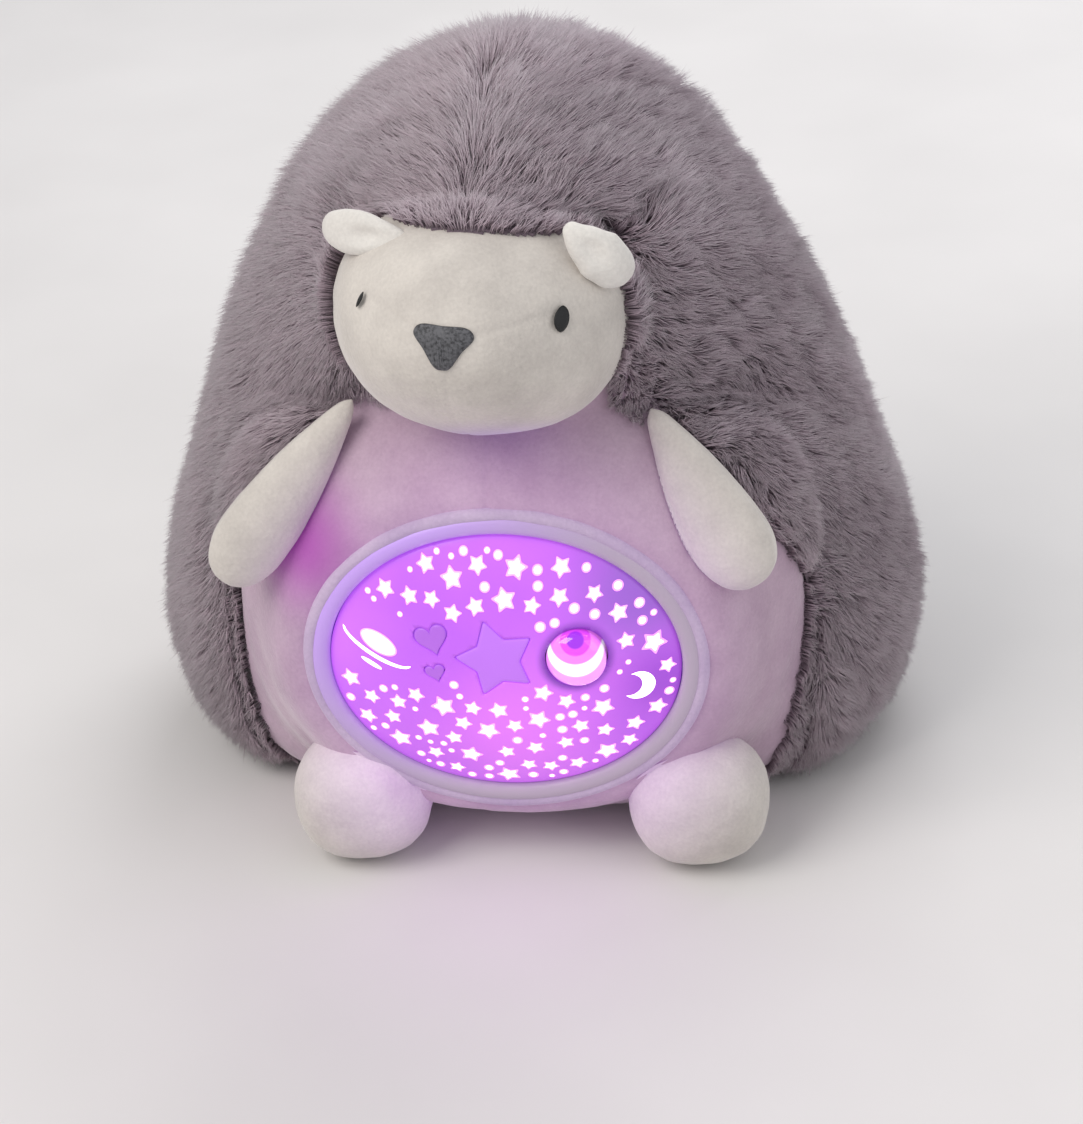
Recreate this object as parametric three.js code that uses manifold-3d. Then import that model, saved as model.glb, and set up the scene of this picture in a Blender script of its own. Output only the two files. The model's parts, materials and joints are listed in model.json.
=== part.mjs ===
// Plush projector night light: a sitting hedgehog in a long-pile coat, with a lit oval belly.
// Millimetres, +Z up, the face and the belly look along -Y, the origin is under the body's middle.
import * as THREE from 'three'
import { mergeVertices } from 'three/addons/utils/BufferGeometryUtils.js'
import Module from 'manifold-3d'

const wasm = await Module()
wasm.setup()

// Gaps between pieces that touch or slide, and the overrun of every cut
const fit = 0.3
const slide = 0.4
const overrun = 5

// Body
const bodyHeight = 250
const bodyHalfWidth = 132
const farOut = 2 * bodyHalfWidth
const bodyBack = 12.44
const bodyLean = 8
const chestShare = 0.75
const chestFront = bodyBack - chestShare * bodyHalfWidth
const pile = 14
const skin = 2.5
const bodySegments = 32
const bodyRings = 13
const ringCrowding = 1.15
const coreSegments = 24
const coreRings = 10
const bodyShares = [
  // height, half-width, front reach, back reach
  [0, 0.72, 0.6, 0.6],
  [0.05, 0.93, 0.74, 0.77],
  [0.16, 1, 0.8, 0.82],
  [0.28, 0.975, 0.78, 0.8],
  [0.42, 0.89, 0.72, 0.735],
  [0.58, 0.78, 0.66, 0.645],
  [0.72, 0.645, 0.7, 0.54],
  [0.85, 0.485, 0.745, 0.41],
  [0.95, 0.26, 0.52, 0.23],
  [1, 0, 0, 0],
]

// Light module: the plane of its ring, its middle height and the lit oval
const ringProud = 6
const ringFront = chestFront - ringProud
const moduleHeight = 77
const domeHalfWidth = 55
const domeHalfHeight = 45.6

// Belly, and the front opening of the coat that shows it and the head
const bellyInset = 37
const bellyHalfWidth = bodyHalfWidth - bellyInset
const bellyReach = 82
const bellyHalfHeight = 95
const bellyDrop = 74
const bellySetback = 69
const bellyBelowModule = 5
const bellyMiddle = new THREE.Vector3(0, chestFront + bellySetback, moduleHeight - bellyBelowModule)
const bellySquareness = 2.6
const bellySegments = 28
const bellyRings = 16
const openingSetback = 72
const openingBack = chestFront + openingSetback
const openingTop = 217
const openingInset = 39
const openingHalfWidth = bodyHalfWidth - openingInset
const openingSteps = 15
const openingShares = [
  // height, half-width
  [0, 0.86],
  [0.1, 0.97],
  [0.28, 1],
  [0.42, 0.97],
  [0.56, 0.8],
  [0.69, 0.53],
  [0.8, 0.44],
  [0.9, 0.42],
  [0.97, 0.36],
  [1, 0],
]
const baseThickness = 2

// Head, turned a little to its right and tilted a little to its left
const headAside = 4
const headSetback = 16
const headHeight = 189
const headMiddle = new THREE.Vector3(-headAside, chestFront + headSetback, headHeight)
const headHalfWidth = 46
const headReach = 39
const headHalfHeight = 34
const chinDrop = 38
const headSquareness = 2.15
const headSegments = 24
const headRings = 14
const snoutReach = 9
const snoutWidth = THREE.MathUtils.degToRad(34)
const headPitch = THREE.MathUtils.degToRad(9)
const headYaw = THREE.MathUtils.degToRad(-6.5)
const headRoll = THREE.MathUtils.degToRad(3)
const noseWidth = 18
const noseHeight = 12.4
const noseRise = 1.6
const noseCornerShare = 0.16
const eyeSpread = 30
const eyeRise = 8
const eyeWidth = 3.8
const eyeHeight = 7.6
const threadHeight = 1.1
const earSpread = { left: 35.5, right: 35 }
const earRise = 19.5
const earForward = 12
const earRadius = 11.5
const earThickness = 7
const earHeightShare = 0.95
const earSquareness = 2.1
const earTurn = THREE.MathUtils.degToRad(20)

// Arms, from the shoulder seam to the tip, and feet; insets count from the body's half-width
const shoulderInset = 86
const shoulderHeight = 154
const shoulder = new THREE.Vector3(bodyHalfWidth - shoulderInset, headMiddle.y, shoulderHeight)
const armTipInset = { left: 45, right: 53 }
const armTipProud = { left: 1, right: 5 }
const armTipHeight = { left: 99.5, right: 102 }
const armTips = {
  left: new THREE.Vector3(armTipInset.left - bodyHalfWidth, chestFront - armTipProud.left, armTipHeight.left),
  right: new THREE.Vector3(bodyHalfWidth - armTipInset.right, chestFront - armTipProud.right, armTipHeight.right),
}
const armHalfWidth = 13.5
const armHalfThickness = 8.5
const armShares = [
  // along, thickness
  [0.05, 0.36],
  [0.16, 0.62],
  [0.33, 0.83],
  [0.5, 0.96],
  [0.67, 1],
  [0.82, 0.9],
  [0.93, 0.62],
  [0.98, 0.34],
]
const armClearance = 1
const footAside = { left: -5, right: 4 }
const footSetback = 3
const footHeight = 21
const footMiddle = {
  left: new THREE.Vector3(-domeHalfWidth - footAside.left, chestFront + footSetback, footHeight),
  right: new THREE.Vector3(domeHalfWidth + footAside.right, chestFront + footSetback, footHeight),
}
const footHalfWidth = 22.5
const footHalfLength = 21
const footHalfHeight = 21.5
const footSquareness = 2.2

// Dome over the lit oval, with the bezel and the hem round it
const domeRise = 14
const aheadOfDome = 2 * domeRise
const domeWall = 2
const domeSegments = 32
const rimDepth = 4
const rimFlange = 1.8
const rimFlangeDepth = 2
const bezelWidth = 4
const bezelRise = 2.2
const bezelDepth = 12
const bezelShares = [
  // across, rise
  [0, 0.8],
  [0.27, 1],
  [0.89, 0.2],
  [1, -0.3],
]
const hemThickness = 2.5
const hemRise = 1.2
const hemShares = [
  // across, rise
  [0, 0],
  [0.3, 1],
  [0.8, 0.7],
  [1, -1],
]
const clampFlange = 2
const maskWall = 1
const housingWall = 2
const weld = 1
const splitDepth = 24
const rearDepth = 48

// Buttons and projection lens, as places on the oval (across, up) and sizes
const starPlace = [-1, 8.6]
const starRadius = 13
const starWaistShare = 0.56
const starPointShare = 1.6
const starTurn = THREE.MathUtils.degToRad(-2)
const heartPlace = [-21, 14.5]
const heartWidth = 10.6
const heartTurn = THREE.MathUtils.degToRad(18)
const smallHeartPlace = [-20.3, 3.3]
const smallHeartWidth = 6.4
const buttonProud = 0.3
const buttonFlange = 1.2
const buttonFlangeDepth = 1.2
const buttonTravel = 1.2
const stemRadius = 2.2
const lensPlace = [23.5, 8.3]
const lensRadius = 9.3
const lensRise = 4.5
const barrelWall = 1.6
const lensShares = [
  // radius, rise
  [0, 1],
  [0.45, 0.87],
  [0.8, 0.5],
  [1, 0],
]

// Windows of the light mask: stars on a sunflower spiral, with a crescent and a ringed planet
const windowCount = 24
const windowReachShare = 0.86
const windowStarRadius = 3.3
const windowMargin = 1.2
const goldenAngle = Math.PI * (3 - Math.sqrt(5))
const planetPlace = [-40.5, 10.5]
const planetHalfWidth = 6.4
const planetHalfHeight = 3.6
const crescentPlace = [42.5, -5.5]
const crescentRadius = 4.9
const crescentBiteShares = [-0.55, 0.35]

// Circuit board and what is on it
const boardDepth = 20
const boardThickness = 1.6
const boardInset = 1.4
const bossRadius = 3.6
const bossSink = 1.1
const bossSetback = 2
const bossTurn = THREE.MathUtils.degToRad(30)
const screwRadius = 1.5
const screwHeadRadius = 3
const screwHeadHeight = 1.8
const screwSocketShare = 0.7
const screwGrip = 8
const screwTip = 2
const switchSize = 6
const switchHeight = 3.4
const plungerRadius = 1.7
const plungerHeight = 1.4
const ledSize = 5
const ledHeight = 1.6
const ledPlaces = [[-33, -12], [-6, -25], [30, -16]]
const chipSize = [14, 9]
const chipHeight = 2
const chipPlace = [14, -14]
const emitterRadius = 3.6
const emitterHeight = 2.4
const emitterShares = [
  // radius, height
  [0, 1],
  [0.6, 0.8],
  [1, 0.3],
  [1, 0],
]
const slideDepth = 8
const slideThickness = 0.8
const slideLedge = 0.8
const slideStars = 3
const slideStarReach = 4.2
const slideStarRadius = 1.6

// Battery box with three AA cells side by side, its door and the contacts
const cellRadius = 7.1
const cellLength = 49
const cellNubRadius = 2.7
const cellNubLength = 1.4
const cellChamfer = 0.7
const cellPitch = 15
const cellCount = 3
const boxWall = 2
const boxDrop = 12
const boxSpare = 2
const cellSpare = 2
const leadCorner = 2
const contactThickness = 0.5
const contactWidth = 8
const springTurns = 3
const springWire = 0.35
const springRadius = 3
const springTaperShare = 0.45
const springSides = 5
const springSteps = 24
const doorThickness = 2
const doorTabHeight = 9
const doorTabWidth = 16
const doorScrewLength = 7
const doorScrewGrip = 3.5
const doorRibShares = [-0.6, -0.5, -0.4]
const doorRibHalfHeight = 0.6
const doorRibRise = 0.8

// Loudspeaker
const speakerRadius = 13.5
const speakerDepth = 7
const speakerRise = 29
const magnetRadius = 7.5
const magnetDepth = 5
const coneWall = 0.8
const grilleRadius = 1.3
const grilleReach = 6
const grilleCount = 6
const grilleRise = 31
const frameWall = 1
const frameHole = 3
const frameRim = 1.5
const frameLip = 2.6
const coneGap = 0.8
const coneDip = 2.4
const coneCapRadius = 3.6
const coneCapRise = 0.8
const coneThroatRadius = 2
const leadRadius = 0.7
const leadSides = 8
const leadSteps = 12
const leadSag = 4
const leadFoot = 4
const leadFall = 12

// Access from the back: the fabric sleeve, the window in the coat, the flap and its closure
const sleeveHalfWidth = 36
const sleeveBelowModule = 41
const sleeveAboveModule = 23
const sleeveBottom = moduleHeight - sleeveBelowModule
const sleeveTop = moduleHeight + sleeveAboveModule
const sleeveWall = 2
const windowHalfWidth = 44
const windowBelowSleeve = 16
const windowAboveSleeve = 8
const windowBottom = sleeveBottom - windowBelowSleeve
const windowTop = sleeveTop + windowAboveSleeve
const flapGap = 0.6
const stripHalfWidth = 30
const stripHeight = 12
const stripThickness = 1.2

const palette = {
  fur: { color: 0x85788a, roughness: 1, metalness: 0 },
  cream_plush: { color: 0xe6ddd2, roughness: 0.95, metalness: 0 },
  belly_plush: { color: 0xd9c6cf, roughness: 0.95, metalness: 0 },
  stuffing: { color: 0xf3f2ee, roughness: 1, metalness: 0 },
  lining: { color: 0xb9b2bd, roughness: 0.9, metalness: 0 },
  closure: { color: 0xe9e6e4, roughness: 0.9, metalness: 0 },
  thread_grey: { color: 0x4a4a4e, roughness: 0.7, metalness: 0 },
  thread_black: { color: 0x141416, roughness: 0.6, metalness: 0 },
  lit_dome: { color: 0xc58cf5, roughness: 0.35, metalness: 0 },
  light_mask: { color: 0x9a55e0, roughness: 0.5, metalness: 0 },
  button_lilac: { color: 0xb07fdc, roughness: 0.4, metalness: 0 },
  bezel_lilac: { color: 0xd8cbe6, roughness: 0.45, metalness: 0 },
  clear_plastic: { color: 0xeee6f7, roughness: 0.08, metalness: 0 },
  white_plastic: { color: 0xeceaea, roughness: 0.5, metalness: 0 },
  black_plastic: { color: 0x232326, roughness: 0.5, metalness: 0 },
  board_green: { color: 0x1f6b3f, roughness: 0.5, metalness: 0 },
  led_white: { color: 0xf6f0d8, roughness: 0.3, metalness: 0 },
  steel: { color: 0xb8bbc0, roughness: 0.3, metalness: 1 },
  magnet: { color: 0x55585c, roughness: 0.4, metalness: 1 },
  cone_paper: { color: 0x2f2e2e, roughness: 0.9, metalness: 0 },
  cell_jacket: { color: 0x3d6a8f, roughness: 0.35, metalness: 0 },
  lead_red: { color: 0xb8322c, roughness: 0.5, metalness: 0 },
  lead_black: { color: 0x1b1b1d, roughness: 0.5, metalness: 0 },
}

const hedgehog = new THREE.Group()

// Closed meshes, and joining and cutting them

function solid(geometry) {
  geometry.deleteAttribute('normal')
  geometry.deleteAttribute('uv')
  const merged = mergeVertices(geometry)
  const triVerts = new Uint32Array(merged.index.array)
  return new wasm.Manifold(new wasm.Mesh({
    numProp: 3,
    vertProperties: new Float32Array(merged.attributes.position.array),
    triVerts,
  }))
}

function subtractAll(base, ...cutters) {
  return cutters.reduce((left, cutter) => left.subtract(cutter), base)
}

function addPart(name, slot, shape) {
  const mesh = shape.getMesh()
  const geometry = new THREE.BufferGeometry()
  geometry.setAttribute('position', new THREE.BufferAttribute(new Float32Array(mesh.vertProperties), 3))
  geometry.setIndex([...mesh.triVerts])
  geometry.computeVertexNormals()
  const part = new THREE.Mesh(geometry, new THREE.MeshStandardMaterial(palette[slot]))
  part.name = name
  hedgehog.add(part)
}

// A closed skin over loops of equal length; a loop of one point is a pole
function loft(loops, closed = false) {
  const points = []
  const starts = loops.map((loop) => points.push(...loop) - loop.length)
  const index = []
  const pairs = loops.length - (closed ? 0 : 1)
  for (let i = 0; i < pairs; i++) {
    const next = (i + 1) % loops.length
    const count = Math.max(loops[i].length, loops[next].length)
    for (let j = 0; j < count; j++) {
      const k = (j + 1) % count
      const [a, b] = loops[i].length === 1 ? [starts[i], starts[i]] : [starts[i] + j, starts[i] + k]
      const [c, d] = loops[next].length === 1 ? [starts[next], starts[next]] : [starts[next] + j, starts[next] + k]
      if (a !== b) index.push(a, b, c)
      if (c !== d) index.push(b, d, c)
    }
  }
  let volume = 0
  for (let i = 0; i < index.length; i += 3) {
    const [p, q, r] = [points[index[i]], points[index[i + 1]], points[index[i + 2]]]
    volume += p.dot(q.clone().cross(r))
  }
  if (volume < 0) index.reverse()
  const geometry = new THREE.BufferGeometry()
  geometry.setFromPoints(points)
  geometry.setIndex(index)
  return solid(geometry)
}

function oval(count, place) {
  return Array.from({ length: count }, (_, i) => {
    const angle = (2 * Math.PI * i) / count
    return place(Math.cos(angle), Math.sin(angle))
  })
}

// A rounded solid around the origin, with its poles on the Y axis
function blob(halfX, halfY, halfZ, squareness, segments, rings, swell = () => 0, drop = halfZ) {
  const geometry = new THREE.SphereGeometry(1, segments, rings)
  const position = geometry.attributes.position
  const p = new THREE.Vector3()
  for (let i = 0; i < position.count; i++) {
    p.fromBufferAttribute(position, i).normalize()
    const size = [[p.x, halfX], [p.y, halfY], [p.z, p.z < 0 ? drop : halfZ]]
      .reduce((sum, [along, half]) => sum + Math.abs(along / half) ** squareness, 0)
    p.multiplyScalar(size ** (-1 / squareness) + swell(p))
    position.setXYZ(i, p.x, p.y, p.z)
  }
  return geometry
}

function box(x0, x1, y0, y1, z0, z1) {
  const geometry = new THREE.BoxGeometry(x1 - x0, y1 - y0, z1 - z0)
  return solid(geometry.translate((x0 + x1) / 2, (y0 + y1) / 2, (z0 + z1) / 2))
}

// An outline drawn as seen from the front (across, up), pushed back from y0 to y1
function prism(outline, y0, y1) {
  const shape = outline instanceof THREE.Shape ? outline : new THREE.Shape(outline)
  const geometry = new THREE.ExtrudeGeometry(shape, { depth: y1 - y0, bevelEnabled: false })
  return solid(geometry.rotateX(Math.PI / 2).translate(0, y1, 0))
}

// Body, belly and the coat's openings, each grown or shrunk by a given amount

const widthCurve = new THREE.SplineCurve(bodyShares.map(([up, width]) => new THREE.Vector2(width, up)))
const frontCurve = new THREE.SplineCurve(bodyShares.map(([up, , front]) => new THREE.Vector2(front, up)))
const backCurve = new THREE.SplineCurve(bodyShares.map(([up, , , back]) => new THREE.Vector2(back, up)))

function bodyLevel(along, grow) {
  const up = Math.max(widthCurve.getPoint(along).y, 0)
  const size = bodyHalfWidth + grow
  return {
    z: up * (bodyHeight + grow),
    middle: bodyBack - bodyLean * up,
    width: Math.max(widthCurve.getPoint(along).x, 0) * size,
    front: Math.max(frontCurve.getPoint(along).x, 0) * size,
    back: Math.max(backCurve.getPoint(along).x, 0) * size,
  }
}

function body(grow) {
  const [segments, rings] = grow > -pile / 2 ? [bodySegments, bodyRings] : [coreSegments, coreRings]
  const loops = []
  for (let i = 0; i < rings; i++) {
    const level = bodyLevel(1 - (1 - i / rings) ** ringCrowding, grow)
    loops.push(oval(segments, (c, s) => new THREE.Vector3(
      level.width * c,
      level.middle + (s < 0 ? level.front : level.back) * s,
      level.z,
    )))
  }
  const top = bodyLevel(1, grow)
  return loft([[new THREE.Vector3(0, bodyBack, 0)], ...loops, [new THREE.Vector3(0, top.middle, top.z)]])
}

function belly(grow) {
  const geometry = blob(bellyHalfWidth + grow, bellyReach + grow, bellyHalfHeight + grow, bellySquareness,
    bellySegments, bellyRings, () => 0, bellyDrop + grow)
  return solid(geometry.translate(bellyMiddle.x, bellyMiddle.y, bellyMiddle.z))
}

function core(grow) {
  return body(grow - pile).add(belly(grow - skin))
}

function frontOpening(grow) {
  const rows = openingShares.map(([up, across]) => [up * openingTop, across * openingHalfWidth])
  const right = new THREE.SplineCurve(rows.map(([z, x]) => new THREE.Vector2(x, z))).getPoints(openingSteps)
  const outline = [...right, ...right.slice(0, -1).reverse().map((p) => new THREE.Vector2(-p.x, p.y))]
  const grown = outline.map((p) => new THREE.Vector2(
    p.x * (1 + grow / openingHalfWidth),
    p.y * (1 + grow / openingTop) - (p.y === 0 ? overrun : 0),
  ))
  return prism(grown, -farOut, openingBack + grow)
}

function backWindow(grow) {
  return box(
    -windowHalfWidth - grow, windowHalfWidth + grow,
    0, farOut,
    windowBottom - grow, windowTop + grow,
  )
}

// The coat and the belly as other pieces meet them
function coatEnvelope(gap) {
  return body(gap).subtract(frontOpening(-gap))
}

// All the room below a height
function ground(height) {
  return box(-farOut, farOut, -farOut, farOut, -farOut, height)
}

// Light module: u across, v up and w back from the ring's plane

function moduleLoop(halfU, halfV, w, count = domeSegments) {
  return oval(count, (c, s) => new THREE.Vector3(halfU * c, ringFront + w, moduleHeight + halfV * s))
}

// A closed ring of oval section pieces; each corner is [offset from the lit oval, depth]
function ovalRing(corners, count = domeSegments) {
  return loft(corners.map(([out, w]) => moduleLoop(domeHalfWidth + out, domeHalfHeight + out, w, count)), true)
}

function ovalPlug(out, w0, w1, count = domeSegments) {
  const [halfU, halfV] = [domeHalfWidth + out, domeHalfHeight + out]
  const loops = [moduleLoop(halfU, halfV, w0, count), moduleLoop(halfU, halfV, w1, count)]
  return loft([[new THREE.Vector3(0, ringFront + w0, moduleHeight)], ...loops,
    [new THREE.Vector3(0, ringFront + w1, moduleHeight)]])
}

function domeDepth(u, v, below = 0) {
  const share = (u / domeHalfWidth) ** 2 + (v / domeHalfHeight) ** 2
  return -domeRise * (1 - share) + below
}

// The solid under a dome that lies a given depth below the outer surface
function domePlug(below, out, foot, rings = 5) {
  const loops = []
  for (let i = 1; i <= rings; i++) {
    const share = i / rings
    loops.push(moduleLoop(
      (domeHalfWidth + out) * share,
      (domeHalfHeight + out) * share,
      -domeRise * (1 - share * share) + below,
    ))
  }
  loops.push(moduleLoop(domeHalfWidth + out, domeHalfHeight + out, foot))
  return loft([[new THREE.Vector3(0, ringFront - domeRise + below, moduleHeight)], ...loops,
    [new THREE.Vector3(0, ringFront + foot, moduleHeight)]])
}

function rod(u, v, radius, w0, w1, sides = 16) {
  const geometry = new THREE.CylinderGeometry(radius, radius, w1 - w0, sides)
  return solid(geometry.translate(u, ringFront + (w0 + w1) / 2, moduleHeight + v))
}

// A turned piece on an axis along Y; each corner is [radius, depth]
function turned(u, v, corners, sides = 16) {
  const loops = corners.map(([radius, w]) => oval(radius === 0 ? 1 : sides, (c, s) => new THREE.Vector3(
    u + radius * c, ringFront + w, moduleHeight + v + radius * s)))
  return loft(loops, corners.every(([radius]) => radius > 0))
}

function moduleBox(u0, u1, v0, v1, w0, w1) {
  return box(u0, u1, ringFront + w0, ringFront + w1, moduleHeight + v0, moduleHeight + v1)
}

function modulePrism(outline, w0, w1) {
  const placed = outline.map((p) => new THREE.Vector2(p.x, moduleHeight + p.y))
  return prism(placed, ringFront + w0, ringFront + w1)
}

// Outlines of the buttons and windows

function star(place, radius, waistShare, turn) {
  const points = 5
  return Array.from({ length: 2 * points }, (_, i) => {
    const angle = turn + (Math.PI * i) / points + Math.PI
    const reach = i % 2 ? radius * waistShare : radius
    return new THREE.Vector2(place[0] + reach * Math.cos(angle), place[1] + reach * Math.sin(angle))
  })
}

function heart(place, width, turn, grow = 0) {
  const steps = 16
  const scale = (width / 2 + grow) / 16
  return Array.from({ length: steps }, (_, i) => {
    const a = (2 * Math.PI * i) / steps
    const across = 16 * Math.sin(a) ** 3
    const up = 13 * Math.cos(a) - 5 * Math.cos(2 * a) - 2 * Math.cos(3 * a) - Math.cos(4 * a)
    return new THREE.Vector2(across * scale, up * scale)
      .rotateAround(new THREE.Vector2(), turn)
      .add(new THREE.Vector2(...place))
  })
}

function ellipse(place, halfU, halfV, count) {
  return oval(count, (c, s) => new THREE.Vector2(place[0] + halfU * c, place[1] + halfV * s))
}

const buttons = {
  star: {
    place: starPlace,
    outline: (grow) => star(starPlace, starRadius + starPointShare * grow, starWaistShare, starTurn),
  },
  heart: {
    place: heartPlace,
    outline: (grow) => heart(heartPlace, heartWidth, heartTurn, grow),
  },
  heart_small: {
    place: smallHeartPlace,
    outline: (grow) => heart(smallHeartPlace, smallHeartWidth, heartTurn, grow),
  },
}

// Plush pieces

function makeCoat() {
  const coat = subtractAll(body(0), core(fit), frontOpening(0), backWindow(0), ground(0))
  addPart('fur_coat', 'fur', coat)
}

function sleeveTube(grow, y1) {
  const w0 = rearDepth + slide
  return box(
    -sleeveHalfWidth - grow, sleeveHalfWidth + grow,
    ringFront + w0, y1,
    sleeveBottom - grow, sleeveTop + grow,
  )
}

const stripsDepth = 2 * stripThickness + 2 * fit

// The room of the bezel and its hem, open to the front
function frontCollar(depth = bezelDepth, gap = fit) {
  return ovalPlug(bezelWidth + fit + hemThickness + gap, -aheadOfDome, depth)
}

function modulePocket() {
  const tail = ovalPlug(rimFlange + fit, 0, rearDepth + screwHeadHeight + 2 * fit)
  return frontCollar(bezelDepth + fit + clampFlange + fit).add(tail)
}

function makeStuffing() {
  const seat = backWindow(fit).subtract(body(-pile - stripsDepth - sleeveWall - fit))
  const padding = subtractAll(
    core(0),
    ground(baseThickness + fit),
    modulePocket(),
    sleeveTube(sleeveWall + fit, farOut),
    seat,
  )
  addPart('stuffing', 'stuffing', padding)
}

function makeBellyPanel() {
  const panel = subtractAll(core(skin).intersect(frontOpening(-fit)), core(fit), modulePocket(), ground(0))
  addPart('belly_panel', 'belly_plush', largest(panel))
}

// The biggest of the separate bodies that a cut may leave
function largest(shape) {
  return shape.decompose().sort((a, b) => b.volume() - a.volume())[0]
}

function makeBasePanel() {
  addPart('base_panel', 'lining', core(0).intersect(ground(baseThickness)).subtract(ground(0)))
}

function placeOnHead(geometry) {
  geometry.rotateX(-headPitch).rotateY(headRoll).rotateZ(headYaw)
  return solid(geometry.translate(headMiddle.x, headMiddle.y, headMiddle.z))
}

function snoutSwell(direction) {
  const angle = Math.acos(THREE.MathUtils.clamp(-direction.y, -1, 1))
  return snoutReach * Math.exp(-((angle / snoutWidth) ** 2))
}

function headBlob(grow) {
  return placeOnHead(blob(
    headHalfWidth + grow, headReach + grow, headHalfHeight + grow, headSquareness, headSegments, headRings,
    snoutSwell, chinDrop + grow))
}

// A stitched patch: an outline on the face, as thick as its thread
function patch(outline) {
  const shape = new THREE.Shape(outline)
  const geometry = new THREE.ExtrudeGeometry(shape, { depth: 2 * headReach, bevelEnabled: false })
  const stamp = placeOnHead(geometry.rotateX(Math.PI / 2))
  return headBlob(fit + threadHeight).intersect(stamp).subtract(headBlob(fit))
}

function makeHead() {
  const head = subtractAll(headBlob(0), core(skin + fit), coatEnvelope(fit))
  addPart('head', 'cream_plush', largest(head))

  const corner = noseWidth * noseCornerShare
  const nose = new THREE.SplineCurve([
    new THREE.Vector2(-noseWidth / 2, noseHeight / 2 - corner),
    new THREE.Vector2(-noseWidth / 2 + corner, noseHeight / 2),
    new THREE.Vector2(noseWidth / 2 - corner, noseHeight / 2),
    new THREE.Vector2(noseWidth / 2, noseHeight / 2 - corner),
    new THREE.Vector2(corner, -noseHeight / 2),
    new THREE.Vector2(-corner, -noseHeight / 2),
    new THREE.Vector2(-noseWidth / 2, noseHeight / 2 - corner),
  ]).getPoints(12).slice(0, -1)
  addPart('nose', 'thread_grey', patch(nose.map((p) => new THREE.Vector2(p.x, p.y + noseRise))))
  for (const [side, sign] of [['left', -1], ['right', 1]]) {
    const eye = ellipse([sign * eyeSpread, eyeRise], eyeWidth / 2, eyeHeight / 2, 10)
    addPart(`eye_${side}`, 'thread_black', patch(eye))
    const ear = blob(earRadius, earThickness, earRadius * earHeightShare, earSquareness, 14, 8)
    ear.rotateZ(sign * earTurn).translate(sign * earSpread[side], -earForward, earRise)
    addPart(`ear_${side}`, 'cream_plush', largest(subtractAll(
      placeOnHead(ear), headBlob(fit), core(skin + fit), coatEnvelope(fit))))
  }
}

function armSolid(side) {
  const start = shoulder.clone()
  if (side === 'left') start.x *= -1
  const along = armTips[side].clone().sub(start)
  const axis = along.clone().normalize()
  const hinge = new THREE.Vector3(axis.z, 0, -axis.x).normalize()
  const outward = new THREE.Vector3().crossVectors(axis, hinge)
  const loops = armShares.map(([share, size]) => oval(16, (c, s) => start.clone()
    .addScaledVector(along, share)
    .addScaledVector(hinge, armHalfWidth * size * c)
    .addScaledVector(outward, armHalfThickness * size * s)))
  return loft([[start], ...loops, [armTips[side].clone()]])
}

function makeLimbs() {
  for (const side of ['left', 'right']) {
    const arm = subtractAll(armSolid(side), core(skin + armClearance), coatEnvelope(armClearance),
      headBlob(armClearance), frontCollar(bezelDepth, armClearance))
    addPart(`arm_${side}`, 'cream_plush', largest(arm))
    const foot = blob(footHalfWidth, footHalfLength, footHalfHeight, footSquareness, 18, 11)
    const at = footMiddle[side]
    addPart(`foot_${side}`, 'cream_plush', largest(subtractAll(
      solid(foot.translate(at.x, at.y, at.z)), core(skin + fit), coatEnvelope(fit), frontCollar(), ground(0))))
  }
}

function makeBackAccess() {
  const facing = body(-pile - stripsDepth).subtract(body(-pile - stripsDepth - sleeveWall))
  const tube = sleeveTube(sleeveWall, farOut).intersect(body(-pile - stripsDepth))
  const sleeve = facing.intersect(backWindow(0)).add(tube).subtract(sleeveTube(0, farOut))
  addPart('access_sleeve', 'lining', largest(sleeve))

  const flap = body(0).intersect(backWindow(-flapGap)).subtract(body(-pile + fit))
  addPart('back_flap', 'fur', flap)

  const margin = (sleeveBottom - windowBottom - stripHeight) / 2
  const strip = box(-stripHalfWidth, stripHalfWidth, 0, farOut,
    windowBottom + margin, windowBottom + margin + stripHeight)
  const hooks = body(-pile - stripThickness - fit).subtract(body(-pile - 2 * stripThickness - fit))
  addPart('hook_strip', 'closure', hooks.intersect(strip))
  addPart('loop_strip', 'closure', body(-pile).subtract(body(-pile - stripThickness)).intersect(strip))
}

// Light module's front: hem, bezel, dome, mask, buttons and lens

function makeFront() {
  const bezelInner = rimFlange + fit
  addPart('bezel_ring', 'bezel_lilac', ovalRing([
    ...bezelShares.map(([across, rise]) => [fit + (bezelWidth - fit) * across, -bezelRise * rise]),
    [bezelWidth, bezelDepth], [bezelInner, bezelDepth],
    [bezelInner, rimDepth - rimFlangeDepth - fit], [fit, rimDepth - rimFlangeDepth - fit],
  ]))
  const hemInner = bezelWidth + fit
  addPart('belly_hem', 'belly_plush', ovalRing([
    ...hemShares.map(([across, rise]) => [hemInner + hemThickness * across, -hemRise * rise]),
    [hemInner + hemThickness, bezelDepth], [hemInner, bezelDepth],
  ]))

  const openings = Object.values(buttons).map((button) => modulePrism(button.outline(slide), -aheadOfDome, overrun))
  const lensHole = rod(...lensPlace, lensRadius + fit, -aheadOfDome, overrun, 24)
  const cover = domePlug(0, 0, rimDepth)
    .add(ovalPlug(rimFlange, rimDepth - rimFlangeDepth, rimDepth))
    .subtract(domePlug(domeWall, -domeWall, rimDepth + overrun, 4))
  addPart('dome_cover', 'lit_dome', subtractAll(cover, ...openings, lensHole))
}

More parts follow.
